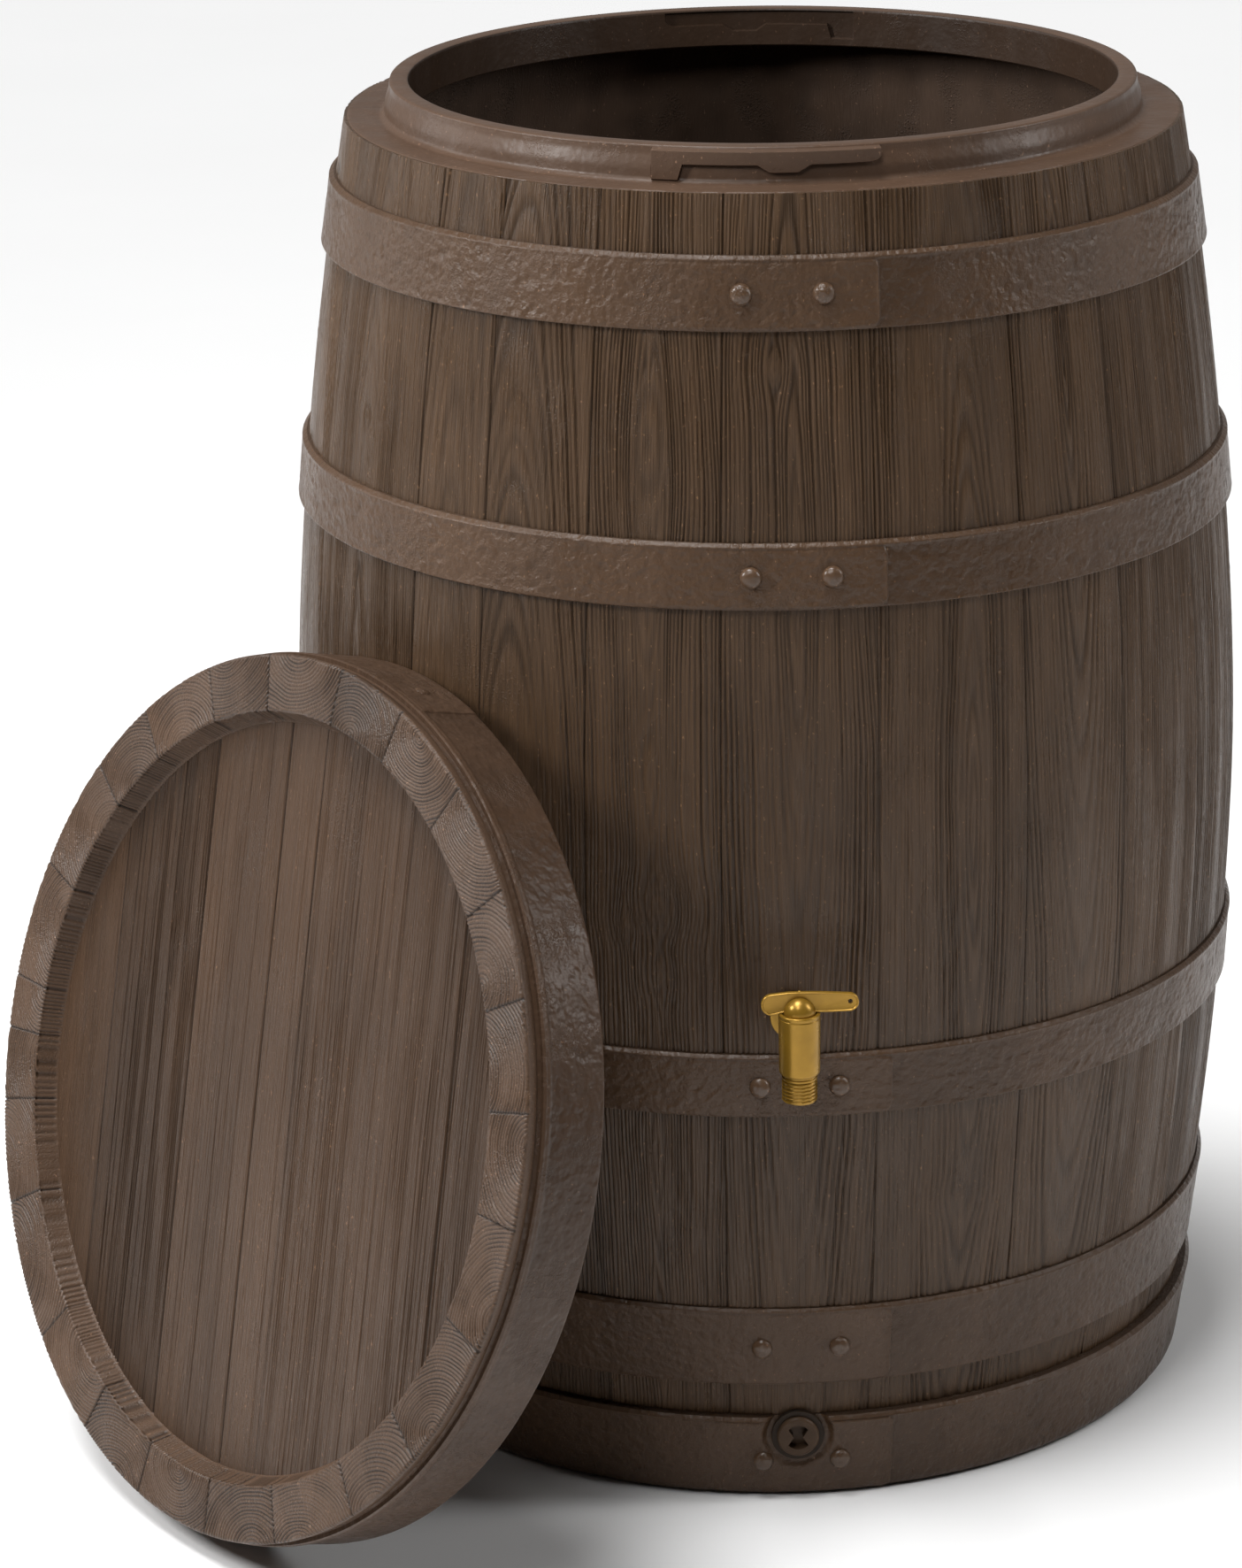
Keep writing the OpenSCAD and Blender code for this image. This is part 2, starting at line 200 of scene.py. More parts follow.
def grid_solid(name, grid, around, hollow_shade=None, grain=None, tone=None, sharp_rows=()):
    """A closed piece from points (rows, columns, 3). Rows go once round its section. Columns close too
    where around is True, and otherwise each end gets a cap."""
    rows, columns = grid.shape[:2]
    points = grid.reshape(-1, 3)
    faces = quads(rows, columns, True, around)
    ends = []
    if not around:
        first = np.arange(rows) * columns
        ends = [first, (first + columns - 1)[::-1]]
    if signed_volume(points, faces) < 0:
        faces = faces[:, ::-1]
        ends = [end[::-1] for end in ends]
    marked = np.zeros(rows, bool)
    marked[list(sharp_rows)] = True

    def sharp(a, b):
        same_row = (a // columns == b // columns) & marked[a // columns]
        edge_a, edge_b = a % columns, b % columns
        cap = (edge_a == edge_b) & ((edge_a == 0) | (edge_a == columns - 1)) & (not around)
        return same_row | cap

    values = plain_values(points)
    if hollow_shade is not None:
        values["hollow_shade"] = hollow_shade.ravel()
    if tone is not None:
        values["tone"] = np.broadcast_to(tone, (rows, columns)).ravel()
    if grain is not None:
        values["grain"] = grain.reshape(-1, 3) * MM
    return piece(name, points, faces, ends, values, sharp)


def polar(radius, az, z):
    """Points from a radius, a direction in degrees and a height, whatever their shapes."""
    radius, az, z = np.broadcast_arrays(radius, np.radians(az), z)
    return np.stack([radius * np.cos(az), radius * np.sin(az), z], axis=-1)


def softened(outline, radius=0.6, steps=3):
    """An outline of (r, z) points with each corner rounded, and its ends left as they are."""
    out = [outline[0]]
    for before, corner, after in zip(outline, outline[1:], outline[2:]):
        before, corner, after = map(np.array, (before, corner, after))
        into, away = before - corner, after - corner
        reach = min(radius, 0.45 * np.linalg.norm(into), 0.45 * np.linalg.norm(away))
        start = corner + into / max(np.linalg.norm(into), 1e-9) * reach
        end = corner + away / max(np.linalg.norm(away), 1e-9) * reach
        for k in range(steps + 1):
            t = k / steps
            out.append(tuple((1 - t) ** 2 * start + 2 * t * (1 - t) * corner + t * t * end))
    return out + [outline[-1]]


def place(points, spot):
    """Points of a local frame, (origin, three axes), in the part's own frame."""
    origin, axes = spot
    return origin + points @ axes


def local_frame(origin, x_axis, y_axis, z_axis):
    """An origin and the three directions of a local frame, in the part's own."""
    return np.array(origin, float), np.array([x_axis, y_axis, z_axis], float)


def direction(az):
    """The level unit vector at an angle in degrees."""
    return np.array([math.cos(math.radians(az)), math.sin(math.radians(az)), 0.0])


UP = np.array([0.0, 0.0, 1.0])


def outward_frame(az, z):
    """+Z away from the barrel's axis, +Y up and +X to the right, from the axis at height z."""
    out = direction(az)
    return local_frame(UP * z, np.cross(UP, out), UP, out)


def turned(name, outline, spot, columns=96, radius_change=None, height_change=None):
    """A solid turned round its frame's Z axis from an outline of (r, z) points that starts and ends on
    the axis, or that closes as a ring. The two changes add relief, from radius, direction and height."""
    outline = np.array(outline)
    ring = outline[0, 0] > 1e-6
    az = np.linspace(0, 360, columns, endpoint=False)
    radius, height = outline[:, :1] + 0 * az, outline[:, 1:] + 0 * az
    if radius_change is not None:
        radius = radius + radius_change(radius, az, height)
    if height_change is not None:
        height = height + height_change(radius, az, height)
    grid = polar(radius, az, height)
    points = place(grid.reshape(-1, 3), spot)
    rows = len(outline)
    faces = quads(rows, columns, ring, True)
    if signed_volume(points, faces) < 0:
        faces = faces[:, ::-1]
    values = plain_values(grid.reshape(-1, 3))
    made = piece(name, points, faces, (), values)
    if not ring:
        weld(made)
    crease(made)
    return made


def weld(made):
    """Joins the points that meet on a turned solid's axis."""
    shape = bmesh.new()
    shape.from_mesh(made.data)
    bmesh.ops.remove_doubles(shape, verts=shape.verts, dist=1e-6)
    bmesh.ops.recalc_face_normals(shape, faces=shape.faces)
    shape.to_mesh(made.data)
    shape.free()


def crease(made, degrees=38):
    """Shades the edges sharper than an angle as sharp."""
    made.data.set_sharp_from_angle(angle=math.radians(degrees))


def cut(made, *tools, degrees=50):
    """Cuts the tools' solids out of a piece and removes the tools."""
    for tool in tools:
        knife = made.modifiers.new("cut", "BOOLEAN")
        knife.operation, knife.solver, knife.object = "DIFFERENCE", "EXACT", tool
    shaped = bpy.data.meshes.new_from_object(made.evaluated_get(bpy.context.evaluated_depsgraph_get()))
    made.modifiers.clear()
    made.data = shaped
    crease(made, degrees)
    for tool in tools:
        bpy.data.objects.remove(tool)


def rod(spot, radius, low, high, columns=96):
    """A plain cylinder to cut with, along its frame's Z axis."""
    return turned("rod", [(0, low), (radius, low), (radius, high), (0, high)], spot, columns)


# ---- Carved surfaces, as depths in millimetres below the smooth one ----

def stave_r(z):
    """Radius of the staves' surface at a height."""
    z = np.asarray(z, float)
    upper = TOP_DROP * (np.clip(z - BELLY_Z, 0, None) / (SHOULDER_Z - BELLY_Z)) ** 1.7
    lower = FOOT_DROP * (np.clip(BELLY_Z - z, 0, None) / BELLY_Z) ** 1.9
    return BELLY_R - upper - lower


def board_depth(across, along, width, board, heart=None, knots=()):
    """Carved grain of one board: lines that follow its growth rings and part round its knots."""
    draw = np.random.default_rng(1000 + board)
    pitch = draw.choice([2.6, 3.3, 3.3, 4.4])
    centre, height = draw.choice([-0.6, 0.3, 0.5, 0.7, 1.6]), draw.uniform(0, 1000)
    if heart:
        centre, height = heart
    drift = draw.uniform(0.05, 0.10)
    sway = 7 * (noise(along / 190, across / 60, board) - 0.5)
    x = across + sway + 1.6 * (noise(along / 45, across / 15, board + 50) - 0.5)
    knot_here = np.zeros(np.broadcast(across, along).shape)
    knot_rings = np.zeros(knot_here.shape)
    for knot_x, knot_z, size, longer in knots:
        off_x, off_z = x - knot_x, (along - knot_z) / longer
        push = 1.2 * size * np.exp(-(off_z / (1.8 * size)) ** 2 - np.abs(off_x) / (2.4 * size))
        x = x - push * np.tanh(off_x / (0.4 * size))
        near = np.hypot(off_x, off_z) / size
        inside = smooth((1.15 - near) / 0.35)
        knot_here = np.maximum(knot_here, inside)
        knot_rings = np.where(inside > 0.1, 0.5 + 0.5 * np.cos(near * 9), knot_rings)
    rings = np.hypot(x - centre * width, drift * (along - height)) / pitch
    rings = rings + 1.1 * (noise(rings * 0.45, along / 500, board + 100) - 0.5)
    ring = np.floor(rings + 0.5)
    off = np.abs(rings - ring)
    strength = 0.40 + 0.60 * hashed(ring, board, 7)
    strength = strength * (0.40 + 0.60 * smooth(1.6 * noise(ring * 0.31, along / 150, board + 150) - 0.25))
    groove = strength * np.exp(-(off * pitch / (0.50 + 0.45 * hashed(ring, board, 8))) ** 2)
    fine = 0.30 * np.abs(noise(rings * 2.7, along / 60, board + 200) - 0.5)
    roll = 0.45 * noise(x / 14, along / 260, board + 250) + 0.3 * pitch * strength * (0.5 - off)
    plain = smooth((noise(rings * 0.13, along / 420, board + 300) - 0.62) / 0.12)
    depth = roll + fine + 0.42 * pitch * groove * (1 - 0.85 * plain)
    depth = depth * (1 - knot_here) + knot_here * (0.15 + 0.70 * knot_rings)
    grit, size = cells(across / 2.6, along / 2.6, board + 350)
    rough = smooth((noise(across / 30, along / 55, board + 400) - 0.55) / 0.15)
    depth = depth + 0.30 * rough * (0.5 - smooth((0.55 - grit) / 0.4) * size)
    edge = np.minimum(across, width - across)
    seam = 1.2 * np.exp(-(edge / 0.75) ** 2) + 0.15 * np.exp(-edge / 2.6)
    return np.clip(depth + seam + draw.uniform(0, 0.3), 0, 2.6)


def stave_carving(az, z):
    """Depth and tone of the staves at directions (columns,) and heights (rows, 1)."""
    depth, tone = np.zeros((len(z), len(az))), np.zeros(len(az))
    for board, (left, right) in enumerate(zip(SEAMS, SEAMS[1:])):
        mine = (az >= left - 1e-6) & (az < right - 1e-6) if board < len(SEAMS) - 2 else az >= left - 1e-6
        if not mine.any():
            continue
        width = math.radians(right - left) * BELLY_R
        across = np.radians(az[mine] - left) * BELLY_R
        knots = [(math.radians(spot - left) * BELLY_R, *rest) for spot, *rest in KNOTS
                 if left < spot < right]
        depth[:, mine] = board_depth(across, z, width, board, HEARTS.get(board), knots)
        tone[mine] = hashed(board, 3, 11)
    return depth, tone


def hammered(turn, z, seed):
    """Hammer marks and pits on a hoop, in three sizes. turn goes from 0 to 1 round it."""
    depth = 0.35 * noise(turn * 52, z / 34, seed, 52)
    layers = [(130, 17, 0.50, 0.9), (250, 9.0, 0.55, 0.65), (470, 5.0, 0.45, 0.45)]
    for count, size, deep, share in layers:
        far, value = cells(turn * count, z / size, seed + count, count)
        depth = depth + deep * (value < share) * hashed(value * 4096, count, 5) * smooth((0.62 - far) / 0.5)
    return depth


# ---- Materials ----

WHITE = (1.0, 1.0, 1.0)
# How a texture's coordinates are stretched: not at all, or into lines along the grain.
EVEN, ALONG_GRAIN = (1, 1, 1), (1, 0.022, 1)


def add(tree, kind, **values):
    """A new node, with its settings and unlinked inputs filled in."""
    made = tree.nodes.new(kind)
    for key, value in values.items():
        if key in made.inputs:
            made.inputs[key].default_value = value
        else:
            setattr(made, key, value)
    return made


def mixed(tree, amount, low, high, blend="MIX"):
    """A colour between two, which may be outputs or plain colours."""
    mix = add(tree, "ShaderNodeMix", data_type="RGBA", blend_type=blend)
    for slot, value in ((0, amount), (6, low), (7, high)):
        if isinstance(value, bpy.types.NodeSocket):
            tree.links.new(value, mix.inputs[slot])
        else:
            mix.inputs[slot].default_value = value
    return mix.outputs[2]


def ranged(tree, source, low, high, to_low=0.0, to_high=1.0):
    """A value mapped from one range to another."""
    change = add(tree, "ShaderNodeMapRange")
    limits = {"From Min": low, "From Max": high, "To Min": to_low, "To Max": to_high}
    for slot, value in limits.items():
        change.inputs[slot].default_value = value
    tree.links.new(source, change.inputs["Value"])
    return change.outputs["Result"]


def attribute(tree, name, output="Fac"):
    """One of the mesh's own attributes."""
    return add(tree, "ShaderNodeAttribute", attribute_name=name).outputs[output]


def texture(tree, source, scale, stretch=EVEN, detail=3.0):
    """Noise on stretched coordinates."""
    moved = add(tree, "ShaderNodeMapping")
    moved.inputs["Scale"].default_value = stretch
    tree.links.new(source, moved.inputs["Vector"])
    made = add(tree, "ShaderNodeTexNoise", Scale=scale, Detail=detail, Roughness=0.55)
    tree.links.new(moved.outputs["Vector"], made.inputs["Vector"])
    return made.outputs["Fac"]


def bumped(tree, height, distance, before=None):
    """A fine relief of a height in metres, on top of the one before."""
    bump = add(tree, "ShaderNodeBump", Strength=1.0, Distance=distance)
    tree.links.new(height, bump.inputs["Height"])
    if before is not None:
        tree.links.new(before, bump.inputs["Normal"])
    return bump.outputs["Normal"]


def started(name):
    """A new material, its node tree and its shader."""
    material = bpy.data.materials.new(name)
    material.use_nodes = True
    return material, material.node_tree, material.node_tree.nodes["Principled BSDF"]


def rgba(colour, scale=1.0):
    """A colour for a socket, made lighter or darker by a factor."""
    return (colour[0] * scale, colour[1] * scale, colour[2] * scale, 1.0)


def multiplied(tree, base, amount, low, high):
    """A colour made darker or lighter, between two factors."""
    factor = mixed(tree, amount, rgba(WHITE, low), rgba(WHITE, high))
    return mixed(tree, 1.0, base, factor, "MULTIPLY")


def moulded(name, colour, deep=0.35, stretch=EVEN, gloss=0.35, grit=0.45, grain=1.0, skin=0.0,
            boards=0.07, shine=0.24):
    """Moulded brown plastic: painted shade that darkens its carving, fine lines along its grain, patches of
    grit and of gloss, and a few pale flecks of painted glint. skin is the height in millimetres of a
    hammered relief that is finer than the modelled one, boards is how much the boards' tones differ, and
    deep is how dark the painted shade in the carving goes."""
    material, tree, shader = started(name)
    spot = attribute(tree, "grain", "Vector")
    lines = texture(tree, spot, 640, stretch, 4.0)
    patches = texture(tree, spot, 9, (1, 0.45, 1), 3.0)
    base = mixed(tree, attribute(tree, "tone"), rgba(colour, 1 - boards), rgba(colour, 1 + boards))
    base = multiplied(tree, base, ranged(tree, patches, 0.35, 0.65), 0.88, 1.10)
    base = multiplied(tree, base, ranged(tree, lines, 0.36, 0.62), 1 - 0.12 * grain, 1 + 0.05 * grain)
    # Painted shade: the colour darkens towards the deep factor where the carving is deepest, and is slightly
    # lighter on open surfaces.
    base = multiplied(tree, base, ranged(tree, attribute(tree, "hollow_shade"), 0.30, 1.0), 1.06, deep)
    # Pale flecks, the colour lightened 2.6 times in a sparse noise: painted glints where tiny bumps would
    # catch light.
    flecks = texture(tree, spot, 420, (1, 0.6, 1), 2.0)
    base = multiplied(tree, base, ranged(tree, flecks, 0.68, 0.74), 1.0, 2.6)
    tree.links.new(base, shader.inputs["Base Color"])
    worn = ranged(tree, texture(tree, spot, 38, (1, 0.4, 1), 4.0), 0.3, 0.7, gloss + 0.09, gloss - 0.07)
    tree.links.new(worn, shader.inputs["Roughness"])
    shader.inputs["Specular IOR Level"].default_value = shine
    specks = ranged(tree, texture(tree, spot, 560, EVEN, 2.0), 0.50, 0.78)
    mask = ranged(tree, texture(tree, spot, 24, (1, 0.6, 1), 2.0), 0.48, 0.66)
    gritty = add(tree, "ShaderNodeMath", operation="MULTIPLY")
    tree.links.new(specks, gritty.inputs[0])
    tree.links.new(mask, gritty.inputs[1])
    normal = bumped(tree, lines, 0.0011 * grain)
    normal = bumped(tree, gritty.outputs[0], 0.0006 * grit, normal)
    if skin:
        normal = bumped(tree, texture(tree, spot, 140, EVEN, 1.0), skin * MM, normal)
    tree.links.new(normal, shader.inputs["Normal"])
    return material


def brassy(name, colour, gloss=0.30):
    """Brass-coloured satin plastic with a faint orange-peel skin and darker, duller patches."""
    material, tree, shader = started(name)
    spot = attribute(tree, "grain", "Vector")
    drift = texture(tree, spot, 45, EVEN, 3.0)
    base = mixed(tree, ranged(tree, drift, 0.35, 0.65), rgba(colour, 0.86), rgba(colour, 1.08))
    tree.links.new(base, shader.inputs["Base Color"])
    tree.links.new(ranged(tree, drift, 0.3, 0.7, gloss + 0.05, gloss - 0.04), shader.inputs["Roughness"])
    shader.inputs["Metallic"].default_value = 0.55
    skin = texture(tree, spot, 700, EVEN, 2.0)
    tree.links.new(bumped(tree, skin, 0.00006), shader.inputs["Normal"])
    return material


def rubbery(name):
    """Black seal rubber, dull and slightly dusty."""
    material, tree, shader = started(name)
    spot = add(tree, "ShaderNodeTexCoord").outputs["Object"]
    dust = texture(tree, spot, 160, EVEN, 4.0)
    rubber, dusty = (0.012, 0.012, 0.012), (0.04, 0.038, 0.036)
    base = mixed(tree, ranged(tree, dust, 0.4, 0.7), rgba(rubber), rgba(dusty))
    tree.links.new(base, shader.inputs["Base Color"])
    tree.links.new(ranged(tree, dust, 0.3, 0.7, 0.78, 0.62), shader.inputs["Roughness"])
    tree.links.new(bumped(tree, dust, 0.0001), shader.inputs["Normal"])
    return material


def plain_moulding(name, colour, gloss=0.4, shine=0.12):
    """Fine-textured plastic for fittings, on the object's own coordinates."""
    material, tree, shader = started(name)
    spot = add(tree, "ShaderNodeTexCoord").outputs["Object"]
    drift = texture(tree, spot, 60, EVEN, 4.0)
    base = mixed(tree, ranged(tree, drift, 0.35, 0.65), rgba(colour, 0.8), rgba(colour, 1.15))
    tree.links.new(base, shader.inputs["Base Color"])
    tree.links.new(ranged(tree, drift, 0.3, 0.7, gloss + 0.08, gloss - 0.05), shader.inputs["Roughness"])
    shader.inputs["Specular IOR Level"].default_value = shine
    skin = texture(tree, spot, 1100, EVEN, 2.0)
    tree.links.new(bumped(tree, skin, 0.00012), shader.inputs["Normal"])
    return material


def floor_material():
    """Pale, dull floor paint."""
    material, tree, shader = started("pale_floor")
    spot = add(tree, "ShaderNodeTexCoord").outputs["Object"]
    base = mixed(tree, texture(tree, spot, 1.5), rgba((0.86, 0.86, 0.86)), rgba((0.89, 0.89, 0.89)))
    tree.links.new(base, shader.inputs["Base Color"])
    shader.inputs["Roughness"].default_value = 0.9
    shader.inputs["Specular IOR Level"].default_value = 0.1
    return material


STAVES = moulded("stave_plastic", (0.067, 0.0385, 0.0208), deep=0.66, stretch=ALONG_GRAIN, gloss=0.31,
                 grain=1.6)
IRON = moulded("hoop_plastic", (0.062, 0.0345, 0.0190), deep=0.80, gloss=0.31, grit=0.7, grain=0.40,
               skin=1.6)
NECK = moulded("neck_plastic", (0.072, 0.0420, 0.0265), deep=0.50, gloss=0.38, grit=0.3, grain=0.05,
               skin=0.4)
RIVETS = moulded("rivet_plastic", (0.064, 0.0360, 0.0200), gloss=0.28, grit=0.4, grain=0.05, shine=0.4)
# The inside's plastic is lighter than the staves' as painted light, standing in for light that reaches into
# the barrel.
INSIDE = moulded("inside_plastic", (0.075, 0.047, 0.032), deep=0.7, stretch=ALONG_GRAIN, gloss=0.55,
                 grit=1.6, grain=0.4)
LID_BOARDS = moulded("lid_board_plastic", (0.051, 0.0292, 0.0172), deep=0.46, stretch=ALONG_GRAIN,
                     gloss=0.34, grain=1.4, boards=0.17)
LID_BLOCKS = moulded("lid_block_plastic", (0.072, 0.0425, 0.0265), deep=0.30, gloss=0.33, grit=0.9,
                     grain=0.4)
LID_IRON = moulded("lid_band_plastic", (0.056, 0.0318, 0.0190), deep=0.80, gloss=0.35, grit=1.0,
                   grain=0.12, skin=1.3)
BRASS = brassy("tap_brass", (0.30, 0.165, 0.018))
SEALS = rubbery("seal_rubber")
DARK = plain_moulding("drain_dark", (0.022, 0.0135, 0.0080), 0.36)
PLUG = plain_moulding("plug_brown", (0.060, 0.0360, 0.0215), 0.34)


def finish_as(made, material, body):
    """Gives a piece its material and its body."""
    made.data.materials.clear()
    made.data.materials.append(material)
    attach(made, body)
    return made


# ---- Barrel ----

# Spacing of the staves' points round the front, round the back, and upwards.
FINE_MM, COARSE_MM, ROW_MM = 0.52, 0.9, 3.5
STAVE_TOP = SHOULDER_Z - 1
# How far the skins reach under the hoops' edges.
TUCK = 1.5


def stave_zone(name, low, high, left, right):
    """The carved skin of the staves between two hoops, over a range of directions, finer at the front."""
    front = math.cos(math.radians((left + right) / 2 - FRONT_AZ)) > 0
    count = int(math.radians(right - left) * BELLY_R / (FINE_MM if front else COARSE_MM))
    az = np.linspace(left, right, count)
    z = np.linspace(low, high, max(4, int((high - low) / ROW_MM)))[:, None]
    depth, tone = stave_carving(az, z)
    outer = polar(stave_r(z) - depth, az, z)
    back_z = np.linspace(high, low, 5)[:, None]
    back = polar(stave_r(back_z) - SKIN, az, back_z)
    grid = np.concatenate([outer, back])
    # The carving's depth, as a share, is kept for the material's painted shade: the deeper the groove or
    # seam, the darker.
    hollow_shade = np.concatenate([np.clip(depth / 1.5, 0, 1), np.zeros(back.shape[:2])])
    across = np.radians(az) * BELLY_R + 0 * z
    grain = np.stack([across, z + 0 * az, 37.0 * tone + 0 * across], axis=-1)
    grain = np.concatenate([grain, np.repeat(grain[:1], len(back), axis=0)])
    tones = tone + np.zeros((len(grid), 1))
    made = grid_solid(name, grid, False, hollow_shade, grain, tones, (0, len(z) - 1, len(z), len(grid) - 1))
    return finish_as(made, STAVES, "barrel")


def arcs(count):
    """Splits the staves into runs, each from seam to seam."""
    cuts = np.linspace(0, len(SEAMS) - 1, count + 1).round().astype(int)
    return [(SEAMS[a], SEAMS[b]) for a, b in zip(cuts, cuts[1:])]


def staves():
    """All carved stave skins: each zone between hoops is cut at seams, the taller ones more often."""
    made = []
    gaps = [(below[1] - TUCK, above[0] + TUCK) for below, above in zip(HOOPS, HOOPS[1:])]
    for number, (low, high) in enumerate(gaps + [(HOOPS[-1][1] - TUCK, STAVE_TOP)], 1):
        parts = 2 if high - low < 60 else 4 if high - low < 200 else 6
        for letter, (left, right) in zip("abcdef", arcs(parts)):
            made.append(stave_zone(f"staves_{number}{letter}", low, high, left, right))
    return made


def hoop_end_fall(az, z, end_az, low, high):
    """How much lower a hoop lies just past its lapped end, fading out round the barrel. The end has
    round corners and a slight bead along its edge."""
    corner = 7.0
    before = np.radians((end_az - az + 180) % 360 - 180) * BELLY_R
    margin = np.minimum(z - low - 1.5, high - HOOP_CHAMFER - 1.0 - z)
    inside = corner - np.hypot(np.clip(corner - before, 0, None), np.clip(corner - margin, 0, None))
    past = np.clip(-before, 0, None)
    fading = np.exp(-past / 220) * smooth(2 - past / 300)
    far_side = smooth((330 - before) / 250)
    on_lap = (before > 0) & (before < 300)
    bead = 0.5 * np.exp(-((inside - 1.0) / 0.9) ** 2 - np.abs(before) / 40) * on_lap
    return LAP_T * np.where(before > 0, far_side, fading) * smooth(-inside / 0.6 + 0.5) - bead


def drain_recess(radius, az, z):
    """The lowest hoop's radius where it dips softly to the drain's seat."""
    turn = np.radians(az - FRONT_AZ)
    away = np.hypot(radius * np.sin(turn), z - DRAIN_Z)
    share = smooth((DRAIN_RECESS_R + 3.5 - away) / 5.5) * (np.abs(turn) < 1)
    return np.minimum(radius, radius * (1 - share) + DRAIN_SEAT / np.cos(turn) * share)


def hoop(number, low, high, proud, turn):
    """One hoop: a hammered band with a nicked chamfer on its upper edge and a lapped end."""
    count = int(2 * math.pi * BELLY_R / 1.7)
    az = np.linspace(-180, 180, count, endpoint=False)
    end_az = FRONT_AZ + turn + math.degrees(HOOP_END / float(stave_r((low + high) / 2)))
    az = np.unique(np.concatenate([az, np.linspace(end_az - 0.3, end_az + 0.5, 9)]))
    if low == 0:
        az = np.unique(np.concatenate([az, np.linspace(FRONT_AZ - 5.2, FRONT_AZ + 5.2, 90)]))
    foot = 8 if low == 0 else 1.2
    face = np.linspace(low + foot, high - HOOP_CHAMFER - 0.8, int((high - low) / 1.6))[1:]
    z = np.concatenate([low + foot * (1 - np.cos(np.linspace(0, math.pi / 2, 5))), face,
                        high - HOOP_CHAMFER * np.array([1, 0.66, 0.33]), [high - 0.25, high]])[:, None]
    share = (z - low) / (high - low)
    bottom, top = float(stave_r(low)) + proud, float(stave_r(high)) + proud
    radius = bottom + (top - bottom) * share
    rounding = foot * (1 - np.sin(np.arccos(np.clip(1 - (z - low) / foot, 0, 1))))
    chamfer = np.clip(z - (high - HOOP_CHAMFER), 0, None)
    depth = hammered((az + 180) / 360, z, 10 * number)
    edges = smooth((z - low) / 4) * smooth((high - HOOP_CHAMFER - z) / 3)
    depth = depth * edges + hoop_end_fall(az, z, end_az, low, high) * smooth((high - 2 - z) / 2)
    flecks = 0.7 * chamfer / HOOP_CHAMFER * noise((az + 180) / 360 * 620, z / 3, number + 77, 620)
    radius = radius - rounding - chamfer - depth - flecks
    if low == 0:
        radius = drain_recess(radius, az, z)
    grid = polar(radius, az, z)
    back = [polar(float(stave_r(height)) - SKIN, az, height) for height in (high, (low + high) / 2, low)]
    grid = np.concatenate([grid, back])
    # The dents' depth is kept for the material's painted shade, darker in deeper dents.
    hollow_shade = np.concatenate([np.clip(depth / 1.6, 0, 1), np.zeros((3, len(az)))])
    around = np.radians(az) * BELLY_R + 0 * z
    grain = np.stack([around, z + 0 * az, 0 * around + 50 * number], axis=-1)
    grain = np.concatenate([grain, np.repeat(grain[:1], 3, axis=0)])
    last = len(grid) - 4
    made = grid_solid(f"hoop_{number}", grid, True, hollow_shade, grain, None, (0, last, last + 1, last + 3))
    return finish_as(made, IRON, "barrel")


def rivet(spot, base, seed):
    """A domed rivet head with a slightly battered top."""
    dome = [(RIVET_R * math.cos(a) ** 0.9, base + RIVET_H * math.sin(a) ** 0.85)
            for a in np.linspace(0, math.pi / 2, 12)[:-1]] + [(0, base + RIVET_H)]
    outline = [(0, base - 3), (RIVET_R + 0.3, base - 3)] + dome

    def battered(radius, az, height):
        x, y = radius * np.cos(np.radians(az)), radius * np.sin(np.radians(az))
        return -0.7 * noise(x / 2.8 + 40, y / 2.8 + 40, seed) * (height > base)

    return turned("rivet", outline, spot, 32, None, battered)


def joined(name, pieces):
    """One object from several."""
    with bpy.context.temp_override(active_object=pieces[0], selected_editable_objects=pieces):
        bpy.ops.object.join()
    pieces[0].name = name
    pieces[0].data.name = name
    return pieces[0]


def rivets():
    """The ten rivet heads, two on each hoop, joined into one piece."""
    made = []
    for number, (low, high, proud, turn) in enumerate(HOOPS, 1):
        z = DRAIN_RIVET_Z if low == 0 else (low + high) / 2
        share = (z - low) / (high - low)
        surface = float(stave_r(low)) * (1 - share) + float(stave_r(high)) * share + proud
        for side in (-1, 1):
            az = FRONT_AZ + turn + side * math.degrees(RIVET_SIDE / surface)
            made.append(rivet(outward_frame(az, z), surface, 7 * number + side))
    return finish_as(joined("hoop_rivets", made), RIVETS, "barrel")


def catch_relief(az):
    """Lower edge of the catches' relief and how much of it there is, from 0 to 1, for each direction."""
    edge, share = np.full(az.shape, CATCH_Z), np.zeros(az.shape)
    for middle in CATCH_AZ:
        at = (az - (middle - CATCH_HALF)) % 360
        wide = 2 * CATCH_HALF
        here = at < wide + 0.5
        heights = [SHOULDER_Z + 1.5, CATCH_Z, TOOTH_Z, CATCH_Z]
        line = np.interp(at, [0, 4, 4.7, 15.3, 17, 21, 22.8, 31.4, 32.4, wide],
                         list(np.repeat(heights, 2)) + [1044.5, 1048])
        edge = np.where(here, line, edge)
        share = np.maximum(share, smooth(at / 0.22) * smooth((wide - at) / 0.22) * here)
    return edge, share


